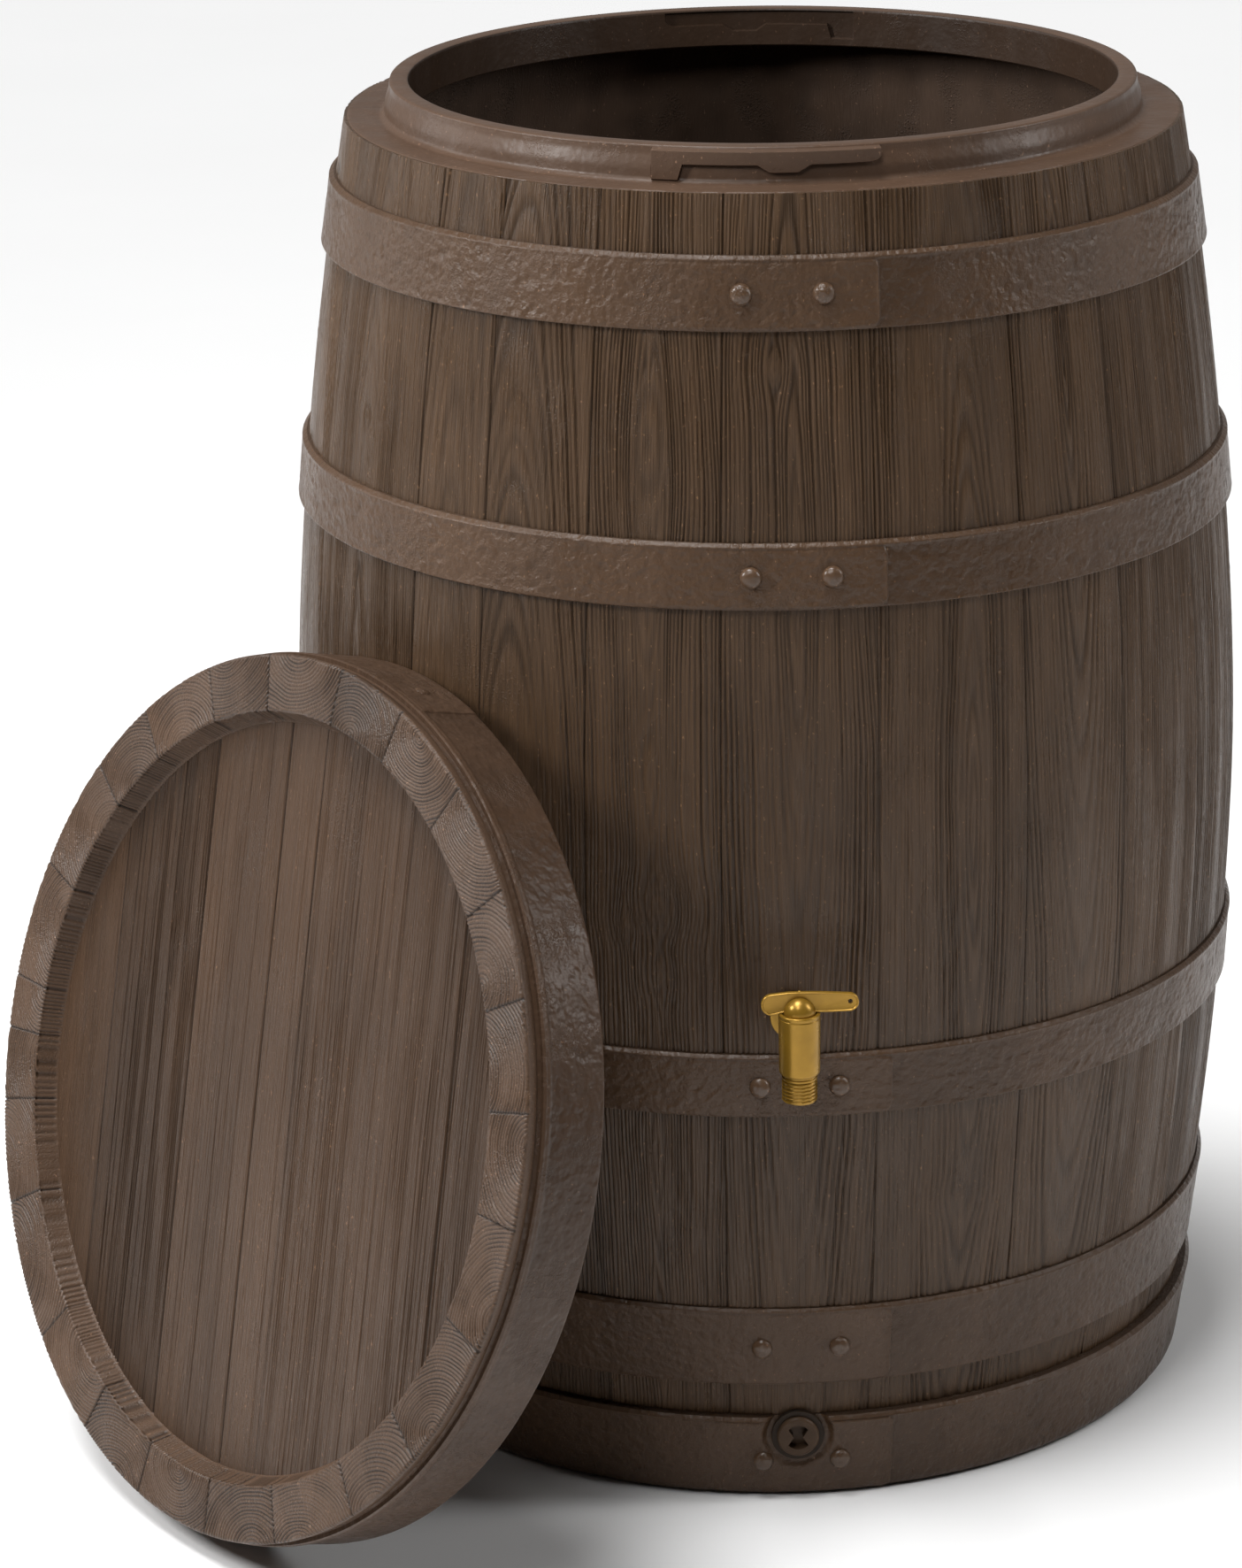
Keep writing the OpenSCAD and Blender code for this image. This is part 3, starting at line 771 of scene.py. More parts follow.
def neck():
    """The shoulder, the neck with its two catches in relief, the lip and the inside of the mouth."""
    fine = [np.linspace(middle - CATCH_HALF + at - 0.4, middle - CATCH_HALF + at + 0.9, 14)
            for middle in CATCH_AZ for at in (0, 4, 15.5, 21.5, 32.3)]
    az = np.unique(np.round(np.concatenate([np.arange(-180, 180, 0.24)] + fine), 4))
    edge, share = catch_relief(az)
    foot = 1033.5

    def level(value):
        return np.full(az.shape, float(value))

    shoulder = [(stave_r(1025) - 2.7, 1025), (stave_r(1029) - 2.7, 1028.6), (stave_r(1030) - 3.0, 1029.4)]
    shoulder += [(radius, SHOULDER_Z) for radius in (322, 318, 312, 306, 301.5)]
    shoulder += [(299.0, 1029.6), (297.0, 1029.9), (295.2, 1031.2), (294.4, 1032.4)]
    rows = [(level(radius), level(height)) for radius, height in shoulder]

    def wall(z):
        return np.interp(z, [foot, 1040.4, 1049.5, 1054, TOP_Z], [294.2, NECK_R, LIP_R + 0.5, LIP_R, LIP_R])

    for part in np.linspace(0, 1, 5):
        z = np.minimum(foot, edge - 0.4) * (1 - part) + (edge - 0.4) * part
        rows.append((wall(z), z))
    proud = NECK_R + CATCH_PROUD
    for part, lift in ((0.25, -0.1), (0.75, 0.15), (1.0, 0.9)):
        z = edge + lift
        rows.append((wall(z) * (1 - part * share) + proud * part * share, z))
    for part in np.linspace(0.2, 1, 5):
        z = (edge + 0.9) * (1 - part) + 1053.2 * part
        rows.append((wall(z) * (1 - share) + proud * share, z))
    for part, z in ((0.85, 1053.8), (0.3, 1054.1), (0.0, 1054.3)):
        rows.append((LIP_R * (1 - part * share) + proud * part * share, level(z)))
    lip = [(289.7, 1055.1), (288.8, 1055.8), (287.4, TOP_Z), (282, TOP_Z), (277, TOP_Z), (275.5, 1055.5)]
    rows += [(level(radius), level(height)) for radius, height in lip]
    sunk = MOUTH_R + 3.2 * share
    rows += [(level(MOUTH_R), level(1054.4)), (sunk, level(1053.6)), (sunk, edge + 0.6),
             (level(MOUTH_R), edge - 0.4)]
    undercut = [(MOUTH_R, 1030), (MOUTH_R, 1026), (MOUTH_R + 1, 1025), (310, 1024.6),
                (stave_r(1025) - SKIN, 1022)]
    rows += [(level(radius), level(height)) for radius, height in undercut]
    radius, height = np.stack([r for r, _ in rows]), np.stack([z for _, z in rows])
    turn = (az + 180) / 360
    wobble = 0.35 * noise(turn * 90, height / 14, 5, 90) + 0.25 * noise(turn * 400, radius / 5, 6, 400)
    flat = (height > 1029.4) & (height < SHOULDER_Z + 0.1)
    radius = radius - 0.3 * wobble * (radius < 300)
    height = height - wobble * flat
    grid = polar(radius, az, height)
    grain = np.stack([np.radians(az) * 300 + 0 * height, height, radius], axis=-1)
    # Painted shade: the mouth's inner wall and the undercut below it are painted fully dark, the rest of the
    # neck not at all.
    hollow_shade = np.zeros(grid.shape[:2])
    hollow_shade[-10:] = 1.0
    made = grid_solid("neck", grid, True, hollow_shade, grain, None, (0, len(rows) - 1))
    crease(made, 42)
    return finish_as(made, NECK, "barrel")


def inside():
    """A liner behind the staves: the floor and the inner face of the wall, up to the shoulder."""
    az = np.linspace(-180, 180, 480, endpoint=False)
    top = 1024.5
    inner_z = np.concatenate([[FLOOR_T + 1.5, FLOOR_T + 4], np.linspace(FLOOR_T + 9, top - 8, 160),
                              [top - 3, top]])
    inner_r = stave_r(inner_z) - WALL - np.where(inner_z < 12, 2.5, 0) - 7 * smooth((inner_z - top + 9) / 9)
    outer_z = np.linspace(top, 0, 20)
    outer_r = stave_r(outer_z) - SKIN
    floor_r, base_r = np.linspace(0, inner_r[0] - 4, 12), np.linspace(outer_r[-1], 0, 6)[1:]
    radii = np.concatenate([floor_r, inner_r, outer_r, base_r])
    heights = np.concatenate([np.full(len(floor_r), FLOOR_T), inner_z, outer_z, np.zeros(len(base_r))])
    radius, height = radii[:, None] + 0 * az, heights[:, None] + 0 * az
    row = np.arange(len(radii))[:, None]
    is_wall = (row >= len(floor_r)) & (row < len(floor_r) + len(inner_z))
    turn = (az + 180) / 360
    rough = 0.9 * noise(turn * 90, height / 190, 21, 90) + 1.1 * noise(turn * 150, height / 14, 22, 150)
    radius = radius + rough * is_wall
    grid = polar(radius, az, height)
    points = grid.reshape(-1, 3)
    faces = quads(len(radii), len(az), False, True)
    if signed_volume(points, faces) < 0:
        faces = faces[:, ::-1]
    grain = np.stack([np.radians(az) * BELLY_R + 0 * height, height, radius], axis=-1)
    # Painted shade where the rough inner wall lies deeper.
    values = {"hollow_shade": np.clip(rough * is_wall / 2.2, 0, 1).ravel(), "tone": np.full(len(points), 0.4),
              "grain": grain.reshape(-1, 3) * MM}
    made = piece("barrel_inside", points, faces, (), values)
    weld(made)
    crease(made, 50)
    return finish_as(made, INSIDE, "barrel")


def barrel():
    """All of the barrel's own pieces, which together stand for the CAD's shell."""
    drain = outward_frame(FRONT_AZ, DRAIN_Z)
    made = staves()
    hoops = [hoop(number, *sizes) for number, sizes in enumerate(HOOPS, 1)]
    cut(hoops[0], rod(drain, 17.75, 300, 360))
    made += hoops + [rivets(), neck()]
    liner = inside()
    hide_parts("barrel_shell")
    return made + [liner]


# ---- Lid, in a frame with +X to its right, +Y up its face and +Z out of its face ----

def lid_frame():
    """Where the lid leans: the centre of its back, and the directions of its right, its top and its face."""
    lean, az = math.radians(LID_LEAN), math.radians(LID_AZ)
    out = direction(LID_AZ)
    right = np.array([-math.sin(az), math.cos(az), 0.0])
    normal = math.cos(lean) * out + math.sin(lean) * UP
    up_face = -math.sin(lean) * out + math.cos(lean) * UP
    rest = LID_BACK_R * math.cos(lean) - LID_EDGE * math.sin(lean)
    return local_frame(out * LID_REACH + right * LID_SIDE + UP * rest, right, up_face, normal)


LID = lid_frame()
# How far the lid's round sides stay inside the CAD's, which are cut in flats.
LID_INSET = 0.35
# How far the panel's boards slant from upright.
PANEL_TILT = math.radians(9)
# Seams between the panel's boards, across their grain, and how deep each board's grain is.
PANEL_SEAMS = [-292, -217, -107, -14, 31, 148, 223, 292]
PANEL_GRAIN = [0.30, 1.6, 0.35, 0.12, 0.85, 0.75, 1.0]
PANEL_JOIN = [0.3, 0.4, 1.2, 1.1, 0.2, 0.2, 1.1, 0.5]
PANEL_TONE = [0.45, 0.0, 0.85, 1.0, 0.65, 0.55, 0.3]


def lid_piece(made, material):
    """Puts a piece on the lid."""
    return finish_as(made, material, "lid")


def panel_depth(across, along):
    """Carving of the lid's boards, which slant a little. Both inputs are (rows, columns)."""
    depth, tone = np.zeros(across.shape), np.zeros(across.shape)
    for board, (left, right) in enumerate(zip(PANEL_SEAMS, PANEL_SEAMS[1:])):
        here = (across >= left) & (across < right)
        column = here.any(axis=0)
        x, y = across[:, column] - left, along[:, column]
        width = right - left
        deep = PANEL_GRAIN[board]
        rings = (x + 5 * noise(y / 170, x / 40, 500 + board)) / 2.7
        ring = np.floor(rings + 0.5)
        strength = hashed(ring, board, 31) * smooth(1.5 * noise(ring * 0.4, y / 130, 520 + board) - 0.15)
        groove = strength * np.exp(-((rings - ring) / 0.24) ** 2)
        few = (hashed(ring, board, 33) > 0.88) * np.exp(-((rings - ring) / 0.2) ** 2)
        far, value = cells(x / 2.4, y / 2.4, 540 + board)
        patch = smooth((noise(x / 25, y / 60, 560 + board) - 0.35) / 0.2)
        sandy = 0.30 * (value - 0.5) * smooth((0.6 - far) / 0.45) * patch
        seam = PANEL_JOIN[board] * np.exp(-x ** 2) + PANEL_JOIN[board + 1] * np.exp(-(width - x) ** 2)
        roll = 0.5 * noise(x / 22, y / 400, 580 + board)
        carved = deep * 1.1 * groove + 0.4 * few + sandy + seam + roll + 0.2
        depth[:, column] = np.where(here[:, column], carved, depth[:, column])
        tone[:, column] = np.where(here[:, column], PANEL_TONE[board], tone[:, column])
    return np.clip(depth, 0, 2.5), tone


PANEL_REACH = LID_FACE_R - LID_RING_W - 5.0


def lid_panel(name, left, right):
    """A run of the recessed, slanting boards between two seams, a slab cut round."""
    reach = PANEL_REACH
    count = int((min(right, reach) - max(left, -reach)) / 0.62)
    across = np.linspace(max(left, -reach * 0.9995), min(right, reach * 0.9995), count)
    half = np.sqrt(reach ** 2 - across ** 2)
    rows = 150
    share = np.linspace(-1, 1, rows)[:, None]
    along = share * half
    across = across + 0 * along
    depth, tone = panel_depth(across, along)
    face = LID_H - LID_RECESS
    tilt_cos, tilt_sin = math.cos(PANEL_TILT), math.sin(PANEL_TILT)
    x, y = across * tilt_cos - along * tilt_sin, across * tilt_sin + along * tilt_cos
    front = np.stack([x, y, face - depth], axis=-1)
    pick = [rows - 1, 100, 50, 0]
    back = np.stack([x[pick], y[pick], np.full(x[pick].shape, face - 3.2)], axis=-1)
    grid = np.concatenate([front, back])
    grain = np.stack([across, along, 20 * tone], axis=-1)
    grain = np.concatenate([grain, grain[pick]])
    # The boards' carving depth is kept for the material's painted shade, darker where deeper.
    hollow_shade = np.concatenate([np.clip(depth / 1.5, 0, 1), np.zeros((4, grid.shape[1]))])
    tones = np.concatenate([tone, tone[pick]])
    corners = (0, rows - 1, rows, rows + 3)
    made = grid_solid(name, place(grid, LID), False, hollow_shade, grain, tones, corners)
    return lid_piece(made, LID_BOARDS)


def block_depth(angle, radius):
    """End grain of the ring's blocks: growth rings about each block's own heart, and grooved joints."""
    joints = np.array(sorted(FRONT_JOINTS + TOP_JOINTS))
    joints = np.append(joints, joints[0] + 360)
    angle = joints[0] + (angle - joints[0]) % 360
    block = np.clip(np.searchsorted(joints, angle, side="right") - 1, 0, len(joints) - 2)
    left, right = joints[block], joints[block + 1]
    middle = np.radians(angle - (left + right) / 2) * radius
    ring_mid = LID_FACE_R - LID_RING_W / 2
    heart_x = 50 * (hashed(block, 1, 41) - 0.5)
    outward = np.where(hashed(block, 2, 41) > 0.4, 1, -1)
    heart_y = outward * (16 + 26 * hashed(block, 6, 41))
    wave = 2.2 * (noise(middle / 16 + 9 * block, radius / 16, 42) - 0.5)
    away = np.hypot(middle - heart_x, (radius - ring_mid - heart_y) * 1.15)
    rings = (away + wave) / (2.7 + 0.8 * hashed(block, 3, 41))
    ring = np.floor(rings + 0.5)
    groove = (0.55 + 0.45 * hashed(ring, block, 43)) * np.exp(-((rings - ring) / 0.27) ** 2)
    fade = 0.65 + 0.35 * smooth((noise(middle / 20 + 5 * block, radius / 20, 44) - 0.25) / 0.4)
    far, value = cells(middle / 2.3 + 31 * block, radius / 2.3, 45)
    grit = 0.25 * value * smooth((0.6 - far) / 0.45)
    edge = np.minimum(np.radians(angle - left), np.radians(right - angle)) * radius
    joint = 0.9 * np.exp(-(edge / 0.8) ** 2) + 0.2 * np.exp(-edge / 2.5)
    depth = 1.35 * groove * fade + grit + joint + 0.35 * hashed(block, 4, 41)
    return np.clip(depth, 0, 2.2), hashed(block, 5, 41)


def lid_ring(name, left, right):
    """A run of the raised ring: the sloped inner wall, the end-grain face and its outer side."""
    angle = np.linspace(left, right, int(math.radians(right - left) * LID_FACE_R / 0.66))
    inner, outer, face = LID_FACE_R - LID_RING_W, LID_FACE_R - LID_INSET, LID_H
    slope = [(inner - 7 + 7 * part, face - LID_RECESS - 2 + (LID_RECESS - 0.5) * part)
             for part in np.linspace(0, 1, 12)]
    corner_in = [(inner + 0.6, face - 1.2), (inner + 1.6, face - 0.35)]
    top = [(radius, face) for radius in np.linspace(inner + 3, outer - 2.6, 58)]
    corner_out = [(outer - 1.2, face - 0.4), (outer - 0.35, face - 1.4)]
    side = [(outer - 0.05, face - 3), (outer - 0.7, face - 5.5), (outer - 1.6, face - 8),
            (outer - 2.0, face - 11)]
    back = [(outer - 6, face - 13), (outer - 10, face - 4.5), (inner + 8, face - 4.5),
            (inner - 4, face - 21)]
    outline = np.array(slope + corner_in + top + corner_out + side + back)
    radius, height = outline[:, :1] + 0 * angle, outline[:, 1:] + 0 * angle
    depth, tone = block_depth(angle + 0 * radius, np.clip(radius, inner, outer))
    facing = np.zeros(len(outline))
    first_top = len(slope) + len(corner_in)
    last_top = first_top + len(top)
    facing[len(slope):last_top + 2] = 1
    carved = depth * facing[:, None]
    walls = np.zeros(len(outline))
    walls[2:len(slope)] = 0.8
    cut_wall = depth * walls[:, None]
    grid = polar(radius + cut_wall, angle, height - carved)
    # The carved depth of the face and inner wall is kept for the material's painted shade.
    hollow_shade = np.clip((carved + cut_wall) / 1.4, 0, 1)
    grain = np.stack([np.radians(angle) * 315 + 0 * radius, radius, height + 40 * tone], axis=-1)
    corners = (0, len(outline) - 4, len(outline) - 1)
    made = grid_solid(name, place(grid, LID), False, hollow_shade, grain, tone, corners)
    return lid_piece(made, LID_BLOCKS)


# Where the lid band's lapped stretch starts and ends, in degrees round the lid.
LAP_FROM, LAP_TO = 74.0, 106.0


def lid_band():
    """The hammered hoop round the lid, with a groove by its front edge and a lapped end at the top."""
    angle = np.linspace(-180, 180, 1060, endpoint=False)
    ends = [np.linspace(end - 0.3, end + 0.3, 7) for end in (LAP_FROM, LAP_TO)]
    angle = np.unique(np.concatenate([angle] + ends))
    front = LID_H - 15
    height = np.concatenate([[0.2, 1.2, 2.6], np.linspace(4, front - 5, 25),
                             front - np.array([4, 3.2, 2.4, 1.4, 0.5, 0]) + 0.5])[:, None]
    radius = LID_BACK_R - np.interp(height, [0, 1.2, LID_EDGE, front], [1.8, 0.5, 0, 1.2])
    groove = 0.45 * np.exp(-((height - (front - 3.2)) / 1.0) ** 2)
    rounding = 1.0 * smooth((height - front + 1.2) / 1.6)
    lap = smooth((angle - LAP_FROM) / 0.25) * smooth((LAP_TO - angle) / 0.25)
    edges = smooth(height / 4) * smooth((front - 5 - height) / 2)
    step = LAP_T * 0.8 * (1 - lap) * smooth((front - 5 - height) / 2)
    depth = (hammered((angle + 180) / 360, height, 91) + 0.2) * edges + step
    radius = radius - groove - rounding - depth - LID_INSET
    back = [(LID_BACK_R - 7.5, front - 0.5), (LID_BACK_R - 4.8, front - 12), (LID_BACK_R - 4.6, 0.2)]
    back_r, back_z = np.array(back)[:, :1] + 0 * angle, np.array(back)[:, 1:] + 0 * angle
    radius, height = np.concatenate([radius, back_r]), np.concatenate([height + 0 * angle, back_z])
    grid = polar(radius, angle, height)
    # The dents' and groove's depth is kept for the material's painted shade.
    hollow_shade = np.concatenate([np.clip((depth + groove) / 1.8, 0, 1), np.zeros((3, len(angle)))])
    grain = np.stack([np.radians(angle) * LID_BACK_R + 0 * height, height, 0 * height], axis=-1)
    last = len(grid) - 4
    corners = (0, last, last + 1, last + 3)
    made = grid_solid("lid_band", place(grid, LID), True, hollow_shade, grain, None, corners)
    return lid_piece(made, LID_IRON)


def lid_underside():
    """The hollow back of the lid, seen when it is lifted or from behind."""
    inner, face = LID_FACE_R - LID_RING_W, LID_H
    outline = softened([(0, face - 22), (inner - 1, face - 22), (inner + 8, face - 6),
                        (LID_FACE_R - 7, face - 6), (LID_BACK_R - 6, face - 18), (LID_BACK_R - 5, 0.4),
                        (LID_BACK_R - 4.4, 0.4), (LID_BACK_R - 5, face - 17.5), (LID_FACE_R - 6, face - 5),
                        (inner + 7, face - 5), (inner - 2, face - 20.5), (0, face - 20.5)], 2.0)

    def ribbed(radius, az, height):
        x, y = radius * np.cos(np.radians(az)), radius * np.sin(np.radians(az))
        return -0.5 * noise(x / 11 + 90, y / 90 + 90, 61) * (height < face - 20.8)

    dense = []
    for (r0, z0), (r1, z1) in zip(outline, outline[1:]):
        steps = max(1, int(math.hypot(r1 - r0, z1 - z0) / 8))
        dense += [(r0 + (r1 - r0) * k / steps, z0 + (z1 - z0) * k / steps) for k in range(steps)]
    made = turned("lid_underside", dense + [outline[-1]], LID, 420, None, ribbed)
    return lid_piece(made, LID_IRON)


def lid_guide():
    """The wall under the lid that goes round the neck, with a lug for each catch."""
    radius, bottom = NECK_R + CATCH_PROUD + 4, LID_H - LID_RECESS - 26

    def lug(r, az, height):
        turn = (az + 90) % 360
        span = sum(smooth((turn - start) / 0.6) * smooth((start + 5 - turn) / 0.6) for start in (20, 200))
        return -4.3 * span * (r < radius + 1.2) * smooth((bottom + 8 - height) / 2)

    outline = [(radius, height) for height in np.linspace(LID_H - 22, bottom + 0.8, 26)]
    outline += [(radius + 0.4, bottom), (radius + 2.6, bottom), (radius + 3, bottom + 0.8),
                (radius + 3, LID_H - 8)]
    made = turned("lid_guide", outline, LID, 720, lug)
    return lid_piece(made, LID_IRON)


def lid():
    """All of the lid's pieces, with a rivet on its band beside the top."""
    split = PANEL_SEAMS[3]
    made = [lid_panel("lid_panel_a", PANEL_SEAMS[0], split),
            lid_panel("lid_panel_b", split, PANEL_SEAMS[-1])]
    turns = [-97.0, 0.6, 88.0, 180.0, 263.0]
    for letter, start, end in zip("abcd", turns, turns[1:]):
        made.append(lid_ring(f"lid_blocks_{letter}", start, end))
    made += [lid_band(), lid_underside(), lid_guide()]
    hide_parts("lid")
    origin, (right, up_face, normal) = LID
    turn = math.radians(80)
    out = right * math.cos(turn) + up_face * math.sin(turn)
    side = up_face * math.cos(turn) - right * math.sin(turn)
    head = rivet(local_frame(origin + normal * 28, side, normal, out), LID_BACK_R - 5.2, 17)
    head.name = "lid_rivet"
    made.append(lid_piece(head, LID_IRON))
    return made


# ---- Tap, in a frame on its upright axis at its tail's height, +X away from the barrel ----

TAP_OUT = direction(TAP_AZ)
TAP = local_frame(TAP_OUT * TAP_REACH + UP * TAP_Z, TAP_OUT, np.cross(UP, TAP_OUT), UP)
TAP_R, THREAD_R, THREAD_PITCH, THREAD_DEPTH = 15.4, 13.22, 2.8, 1.1
DOME_R, COCK_R, COCK_TOP = 12.0, 10.9, 20.6
TAP_SEAT, TAP_GASKET_T = 373.9, 3.0


def tap_body():
    """The upright barrel of the tap with a thin lip, a stepped shoulder and a threaded spout."""
    outline = softened([(9.5, -42.5), (10.3, -44), (12.4, -44), (THREAD_R, -42.6)], 0.5)
    outline += [(THREAD_R, z) for z in np.arange(-42.0, -25.2, 0.28)]
    outline += softened([(THREAD_R, -25.0), (12.5, -24.6), (12.5, -23.2), (14.4, -22.2), (14.9, -21.3),
                         (TAP_R - 0.25, -20.4), (TAP_R, 20.5), (TAP_R, 21.2), (TAP_R - 0.5, 21.9),
                         (TAP_R - 0.1, 22.6), (TAP_R, 24.3), (TAP_R - 0.5, 25.0), (12.9, 25.0),
                         (12.5, 24.4), (12.4, 20.0), (9.5, 18.0)], 0.35)

    def thread(radius, az, height):
        phase = (height / THREAD_PITCH - az / 360) % 1
        ridge = smooth(np.minimum(phase, 1 - phase) / 0.28)
        fade = smooth((-26.0 - height) / 1.5) * smooth((height + 43.0) / 1.2)
        return -THREAD_DEPTH * ridge * fade * (np.abs(radius - THREAD_R) < 0.3)

    barrel_part = turned("tap_barrel", outline, TAP, 128, thread)
    flange_at = TAP_SEAT + TAP_GASKET_T - TAP_REACH
    along = local_frame(TAP[0], TAP[1][1], TAP[1][2], TAP[1][0])
    outline = softened([(7.5, -97), (THREAD_R, -97), (THREAD_R, flange_at), (18.5, flange_at),
                        (18.5, flange_at + 4), (12.5, flange_at + 4), (10.5, flange_at + 6),
                        (10.5, -10.5), (7.5, -10.5)], 0.8)
    tail = turned("tap_tail", outline, along, 96)
    return finish_as(joined("tap_barrel", [barrel_part, tail]), BRASS, "barrel")


def tap_dome():
    """The cock, drawn solid, with its domed cap."""
    dome = [(DOME_R * math.cos(a), 25.0 + DOME_R * math.sin(a)) for a in np.radians(np.linspace(0, 90, 20))]
    outline = [(0, -18.4), (COCK_R, -18.4), (COCK_R, COCK_TOP), (DOME_R, COCK_TOP + 0.2)] + dome
    outline[-1] = (0, dome[-1][1])
    made = turned("tap_cap", outline, TAP, 96)
    return finish_as(made, BRASS, "tap_valve")


def round_end(middle, radius, start, end):
    """Points along an arc, from one angle in degrees to another."""
    angles = np.radians(np.linspace(start, end, 16))
    return [middle + radius * np.array([math.cos(angle), math.sin(angle)]) for angle in angles]


def lever_outline(shrink):
    """The lever seen from the front: two round ends, straight sides and a slight crown in the middle."""
    left, right = np.array([-20.1, 31.6]), np.array([36.7, 32.8])
    right_arc = round_end(right, 7.0 - shrink, -88, 84)
    crown = [np.array([y, 41.3 - shrink - 0.004 * abs(y) ** 1.6]) for y in (16, 8, 0, -8)]
    left_arc = round_end(left, 8.3 - shrink, 100, 264)
    lower = [np.array([y, 25.4 + shrink]) for y in (-12, 0, 12, 24)]
    return np.array(right_arc + crown + left_arc + lower)


def tap_lever():
    """The flat lever with a raised rim on both faces, an eye at its long end and a small pip on top."""
    rim, web = 1.9, 1.15
    steps = [(0.35, -rim), (0.0, -rim + 0.4), (0.0, rim - 0.4), (0.35, rim), (1.1, rim), (1.4, rim - 0.3),
             (1.55, web + 0.1), (1.9, web)]
    loops = []
    for shrink, x in steps + [(1.9, -web), (1.55, -web - 0.1), (1.4, -rim + 0.3), (1.1, -rim)]:
        flat = lever_outline(shrink)
        loops.append(np.column_stack([np.full(len(flat), x), flat]))
    rows, columns = len(loops), len(loops[0])
    points = np.concatenate(loops)
    faces = quads(rows, columns, False, True)
    web_row = len(steps) - 1
    faces = faces[faces.min(axis=1) // columns != web_row]
    wrap = np.arange(columns)
    last = (rows - 1) * columns
    closing = np.stack([last + wrap, last + (wrap + 1) % columns, (wrap + 1) % columns, wrap], axis=1)
    faces = np.concatenate([faces, closing])
    front, back = web_row * columns + wrap, (web_row + 1) * columns + wrap
    if signed_volume(points, faces) < 0:
        faces = faces[:, ::-1]
        ends = [front[::-1], back]
    else:
        ends = [front, back[::-1]]
    made = piece("tap_lever_arm", place(points, TAP), faces, ends, plain_values(points))
    weld(made)
    through = local_frame(place(np.array([[0, 37.4, 33.4]]), TAP)[0], TAP[1][1], TAP[1][2], TAP[1][0])
    cut(made, rod(through, 1.75, -6, 6, 48), rod(TAP, TAP_R + 0.6, 15, 25.4), degrees=32)
    top = local_frame(place(np.array([[0, 0, 40.6]]), TAP)[0], TAP[1][0], TAP[1][1], TAP[1][2])
    pip = turned("pip", softened([(0, -1), (1.5, -1), (1.4, 0.9), (0.7, 1.6), (0, 1.7)], 0.4), top, 32)
    return finish_as(joined("tap_lever_arm", [made, pip]), BRASS, "tap_valve")


def tap():
    """The tap's three visible pieces, each in the place of its CAD node."""
    body, cap, lever = tap_body(), tap_dome(), tap_lever()
    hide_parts("tap_body")
    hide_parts("tap_plug")
    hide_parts("tap_lever")
    return [body, cap, lever]


# ---- Drain, in a frame on its axis, +Z away from the barrel ----

def drain():
    """The dark bush in the wall and the brown plug screwed into it, with its two-winged key socket."""
    spot = outward_frame(FRONT_AZ, DRAIN_Z)
    outline = [(14.2, 316), (17.5, 316), (17.5, 345.9), (20.6, 345.9), (20.6, 348.5), (14.2, 348.5)]
    bush = turned("drain_ring", softened(outline, 0.6), spot)
    bush = finish_as(bush, DARK, "barrel")
    head, face = 16.4, 353.0
    outline = [(0, 333.9), (12.9, 333.9), (13.0, 348.2), (head - 0.5, 348.2), (head, 349.2),
               (head, 351.0), (head - 1.2, 352.6), (head - 2.6, face), (0, face)]
    plug = turned("drain_screw_plug", softened(outline, 0.5), spot)
    cut(plug, key_wings(spot, face), degrees=32)
    plug = finish_as(plug, PLUG, "drain_screw")
    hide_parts("drain_bush")
    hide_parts("drain_plug")
    return [bush, plug]


def key_wings(spot, face):
    """The two fan-shaped pockets of the key socket, as one solid with a narrow waist."""
    deep, reach = 9.0, 10.2
    fan = [(reach * math.sin(a), reach * math.cos(a)) for a in np.radians(np.linspace(50, -50, 13))]
    outline = [(3.6, 0)] + fan + [(-3.6, 0)] + [(-x, -y) for x, y in fan]
    outline = np.array(outline[::-1])
    count = len(outline)
    low = np.column_stack([outline, np.full(count, face - deep)])
    high = np.column_stack([outline, np.full(count, face + 5)])
    points = np.concatenate([low, high])
    faces = quads(2, count, False, True)
    if signed_volume(points, faces) < 0:
        faces, ends = faces[:, ::-1], [np.arange(count), (count + np.arange(count))[::-1]]
    else:
        ends = [np.arange(count)[::-1], count + np.arange(count)]
    made = piece("wings", place(points, spot), faces, ends)
    weld(made)
    return made


def carried_nodes():
    """Procedural finishes for the CAD nodes that stay: seals, washers and nuts."""
    seals = ["tap_gasket", "tap_washer", "tap_oring_upper", "tap_oring_lower", "drain_gasket",
             "drain_oring"]
    finishes = dict.fromkeys(seals, SEALS)
    finishes["drain_backnut"] = DARK
    finishes["tap_backnut"] = plain_moulding("nut_brass", (0.46, 0.27, 0.055), 0.35)
    for name, material in finishes.items():
        for place_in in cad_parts[name].material_slots:
            place_in.material = material


# ---- Stage ----

def stage():
    """A pale floor disc."""
    count, reach = 96, 9000.0
    rim = polar(reach, np.linspace(0, 360, count, endpoint=False), 0.0)
    mesh = bpy.data.meshes.new("floor")
    mesh.from_pydata((rim * MM).tolist(), [], [list(range(count))])
    floor = bpy.data.objects.new("floor", mesh)
    floor.location.z = -0.0005
    mesh.materials.append(floor_material())
    bpy.context.collection.objects.link(floor)


def area_light(name, spot, target, size, power):
    """A soft box of a size in metres, turned to a target."""
    lamp = bpy.data.lights.new(name, "AREA")
    lamp.shape, lamp.size, lamp.size_y = "RECTANGLE", size[0], size[1]
    lamp.energy = power
    made = bpy.data.objects.new(name, lamp)
    made.location = spot
    made.rotation_euler = (Vector(target) - Vector(spot)).to_track_quat("-Z", "Y").to_euler()
    bpy.context.collection.objects.link(made)


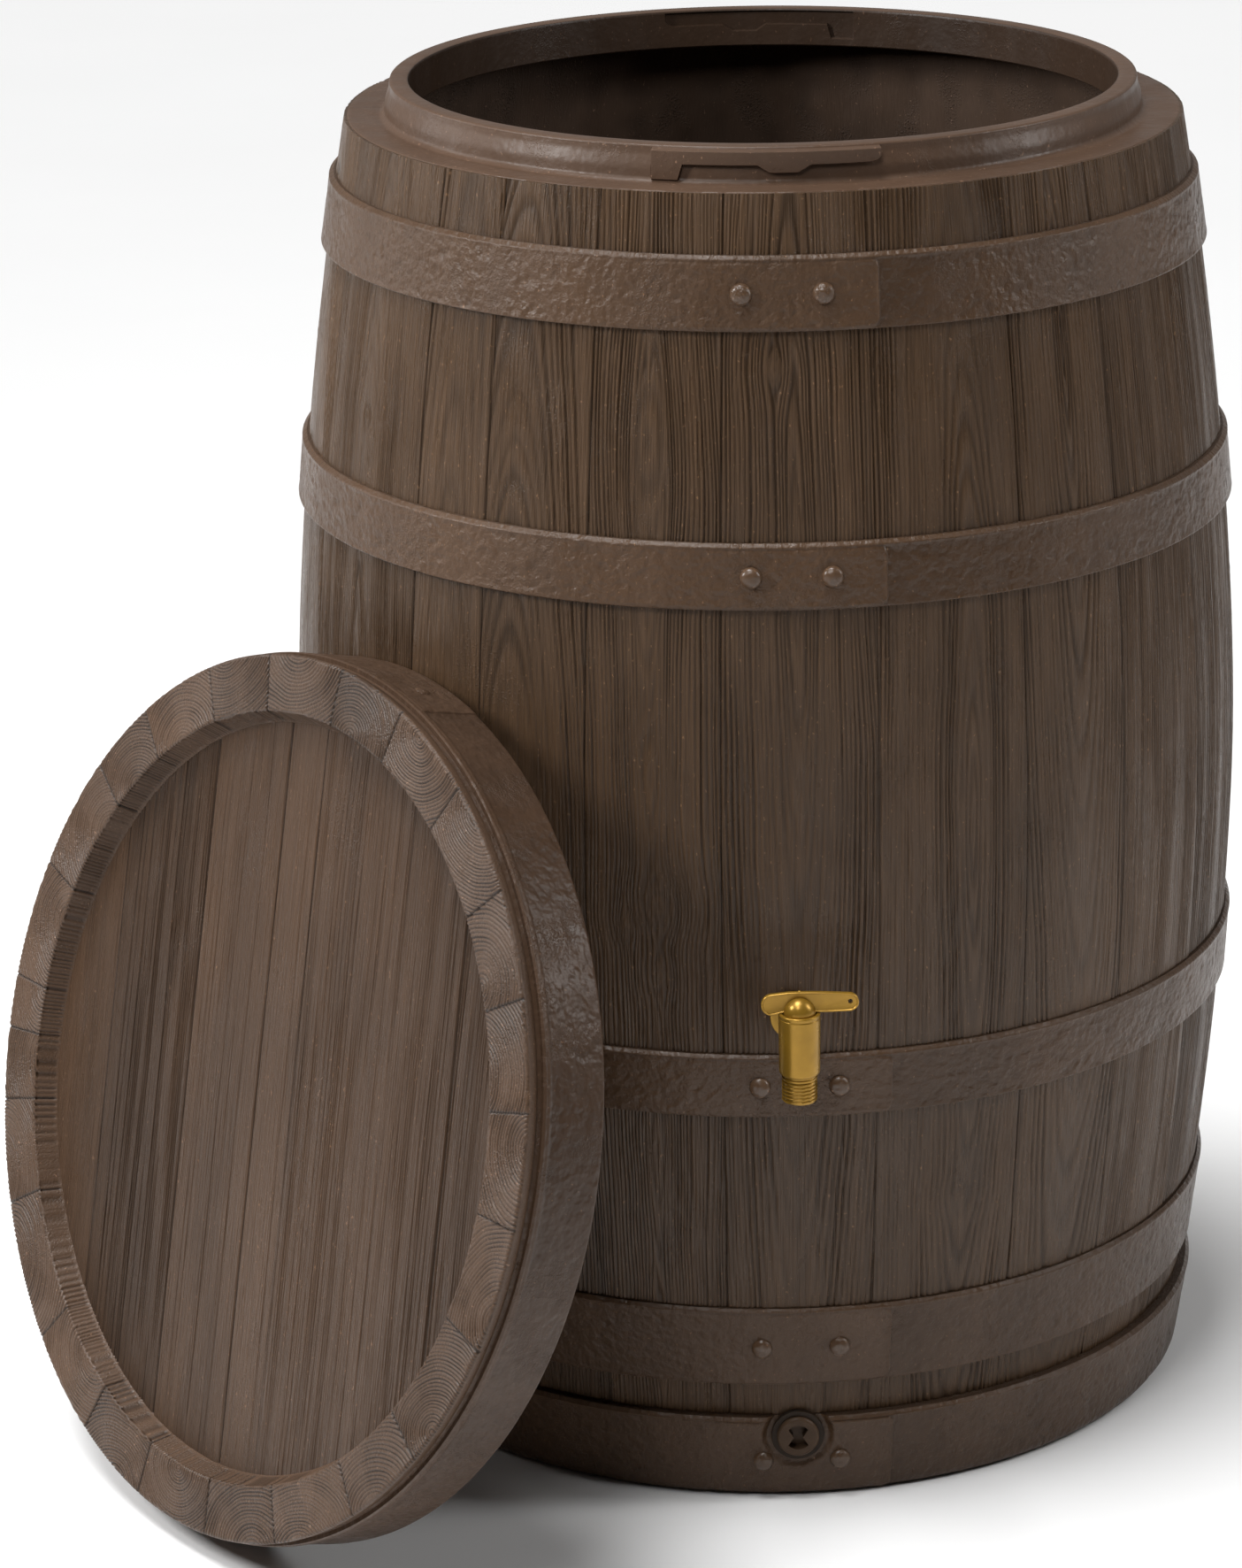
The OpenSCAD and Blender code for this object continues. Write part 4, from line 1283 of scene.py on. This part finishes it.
def world_light():
    """A dim room, brighter behind the object, seen by the camera as plain white."""
    world = bpy.data.worlds.new("studio")
    bpy.context.scene.world = world
    world.use_nodes = True
    tree = world.node_tree
    spot = add(tree, "ShaderNodeTexCoord").outputs["Generated"]
    split = add(tree, "ShaderNodeSeparateXYZ")
    tree.links.new(spot, split.inputs[0])
    behind = ranged(tree, split.outputs["Y"], -0.1, 0.8)
    room = mixed(tree, behind, rgba(WHITE, 0.028), rgba(WHITE, 0.26))
    seen = add(tree, "ShaderNodeLightPath").outputs["Is Camera Ray"]
    colour = mixed(tree, seen, room, rgba(WHITE, 1.05))
    tree.links.new(colour, tree.nodes["Background"].inputs["Color"])


def sun_light(name, source, strength, softness):
    """Even light from a direction, as soft as its angle in degrees."""
    lamp = bpy.data.lights.new(name, "SUN")
    lamp.energy, lamp.angle = strength, math.radians(softness)
    made = bpy.data.objects.new(name, lamp)
    made.rotation_euler = (-Vector(source)).to_track_quat("-Z", "Y").to_euler()
    bpy.context.collection.objects.link(made)


def lights():
    """Overhead light and four soft boxes: the front, the left edge, the left back and the right edge."""
    world_light()
    sun_light("overhead", (-0.20, -0.06, 1.0), 3.0, 25)
    area_light("front_top", (-0.4, -1.7, 2.35), (0, 0, 0.9), (0.6, 0.6), 15)
    area_light("left_key", (-2.1, -0.95, 1.95), (0, 0, 0.95), (0.35, 0.9), 52)
    area_light("left_strip", (-2.2, 0.6, 1.6), (-0.2, 0, 0.8), (0.6, 1.6), 14)
    area_light("right_key", (2.0, -0.35, 1.75), (0, 0, 0.9), (0.35, 1.2), 20)


def camera():
    """The view from in front and slightly above."""
    spot, pitch, yaw, roll = (0.0, -3.818278, 1.782060), 0.330699, -0.030830, -0.014456
    forward = Vector((math.sin(yaw) * math.cos(pitch), math.cos(yaw) * math.cos(pitch), -math.sin(pitch)))
    level = Vector((math.cos(yaw), -math.sin(yaw), 0))
    upright = Vector((math.sin(yaw) * math.sin(pitch), math.cos(yaw) * math.sin(pitch), math.cos(pitch)))
    right = level * math.cos(roll) + upright * math.sin(roll)
    up = upright * math.cos(roll) - level * math.sin(roll)
    view = bpy.data.cameras.new("camera")
    view.sensor_width, view.lens = 36.0, 113.63
    made = bpy.data.objects.new("camera", view)
    turn = np.eye(4)
    turn[:3, 0], turn[:3, 1], turn[:3, 2], turn[:3, 3] = right, up, -forward, spot
    made.matrix_world = Matrix(turn.tolist())
    bpy.context.collection.objects.link(made)
    bpy.context.scene.camera = made
    bpy.context.scene.view_settings.view_transform = "Standard"


camera()
barrel()
lid()
tap()
drain()
carried_nodes()
stage()
lights()
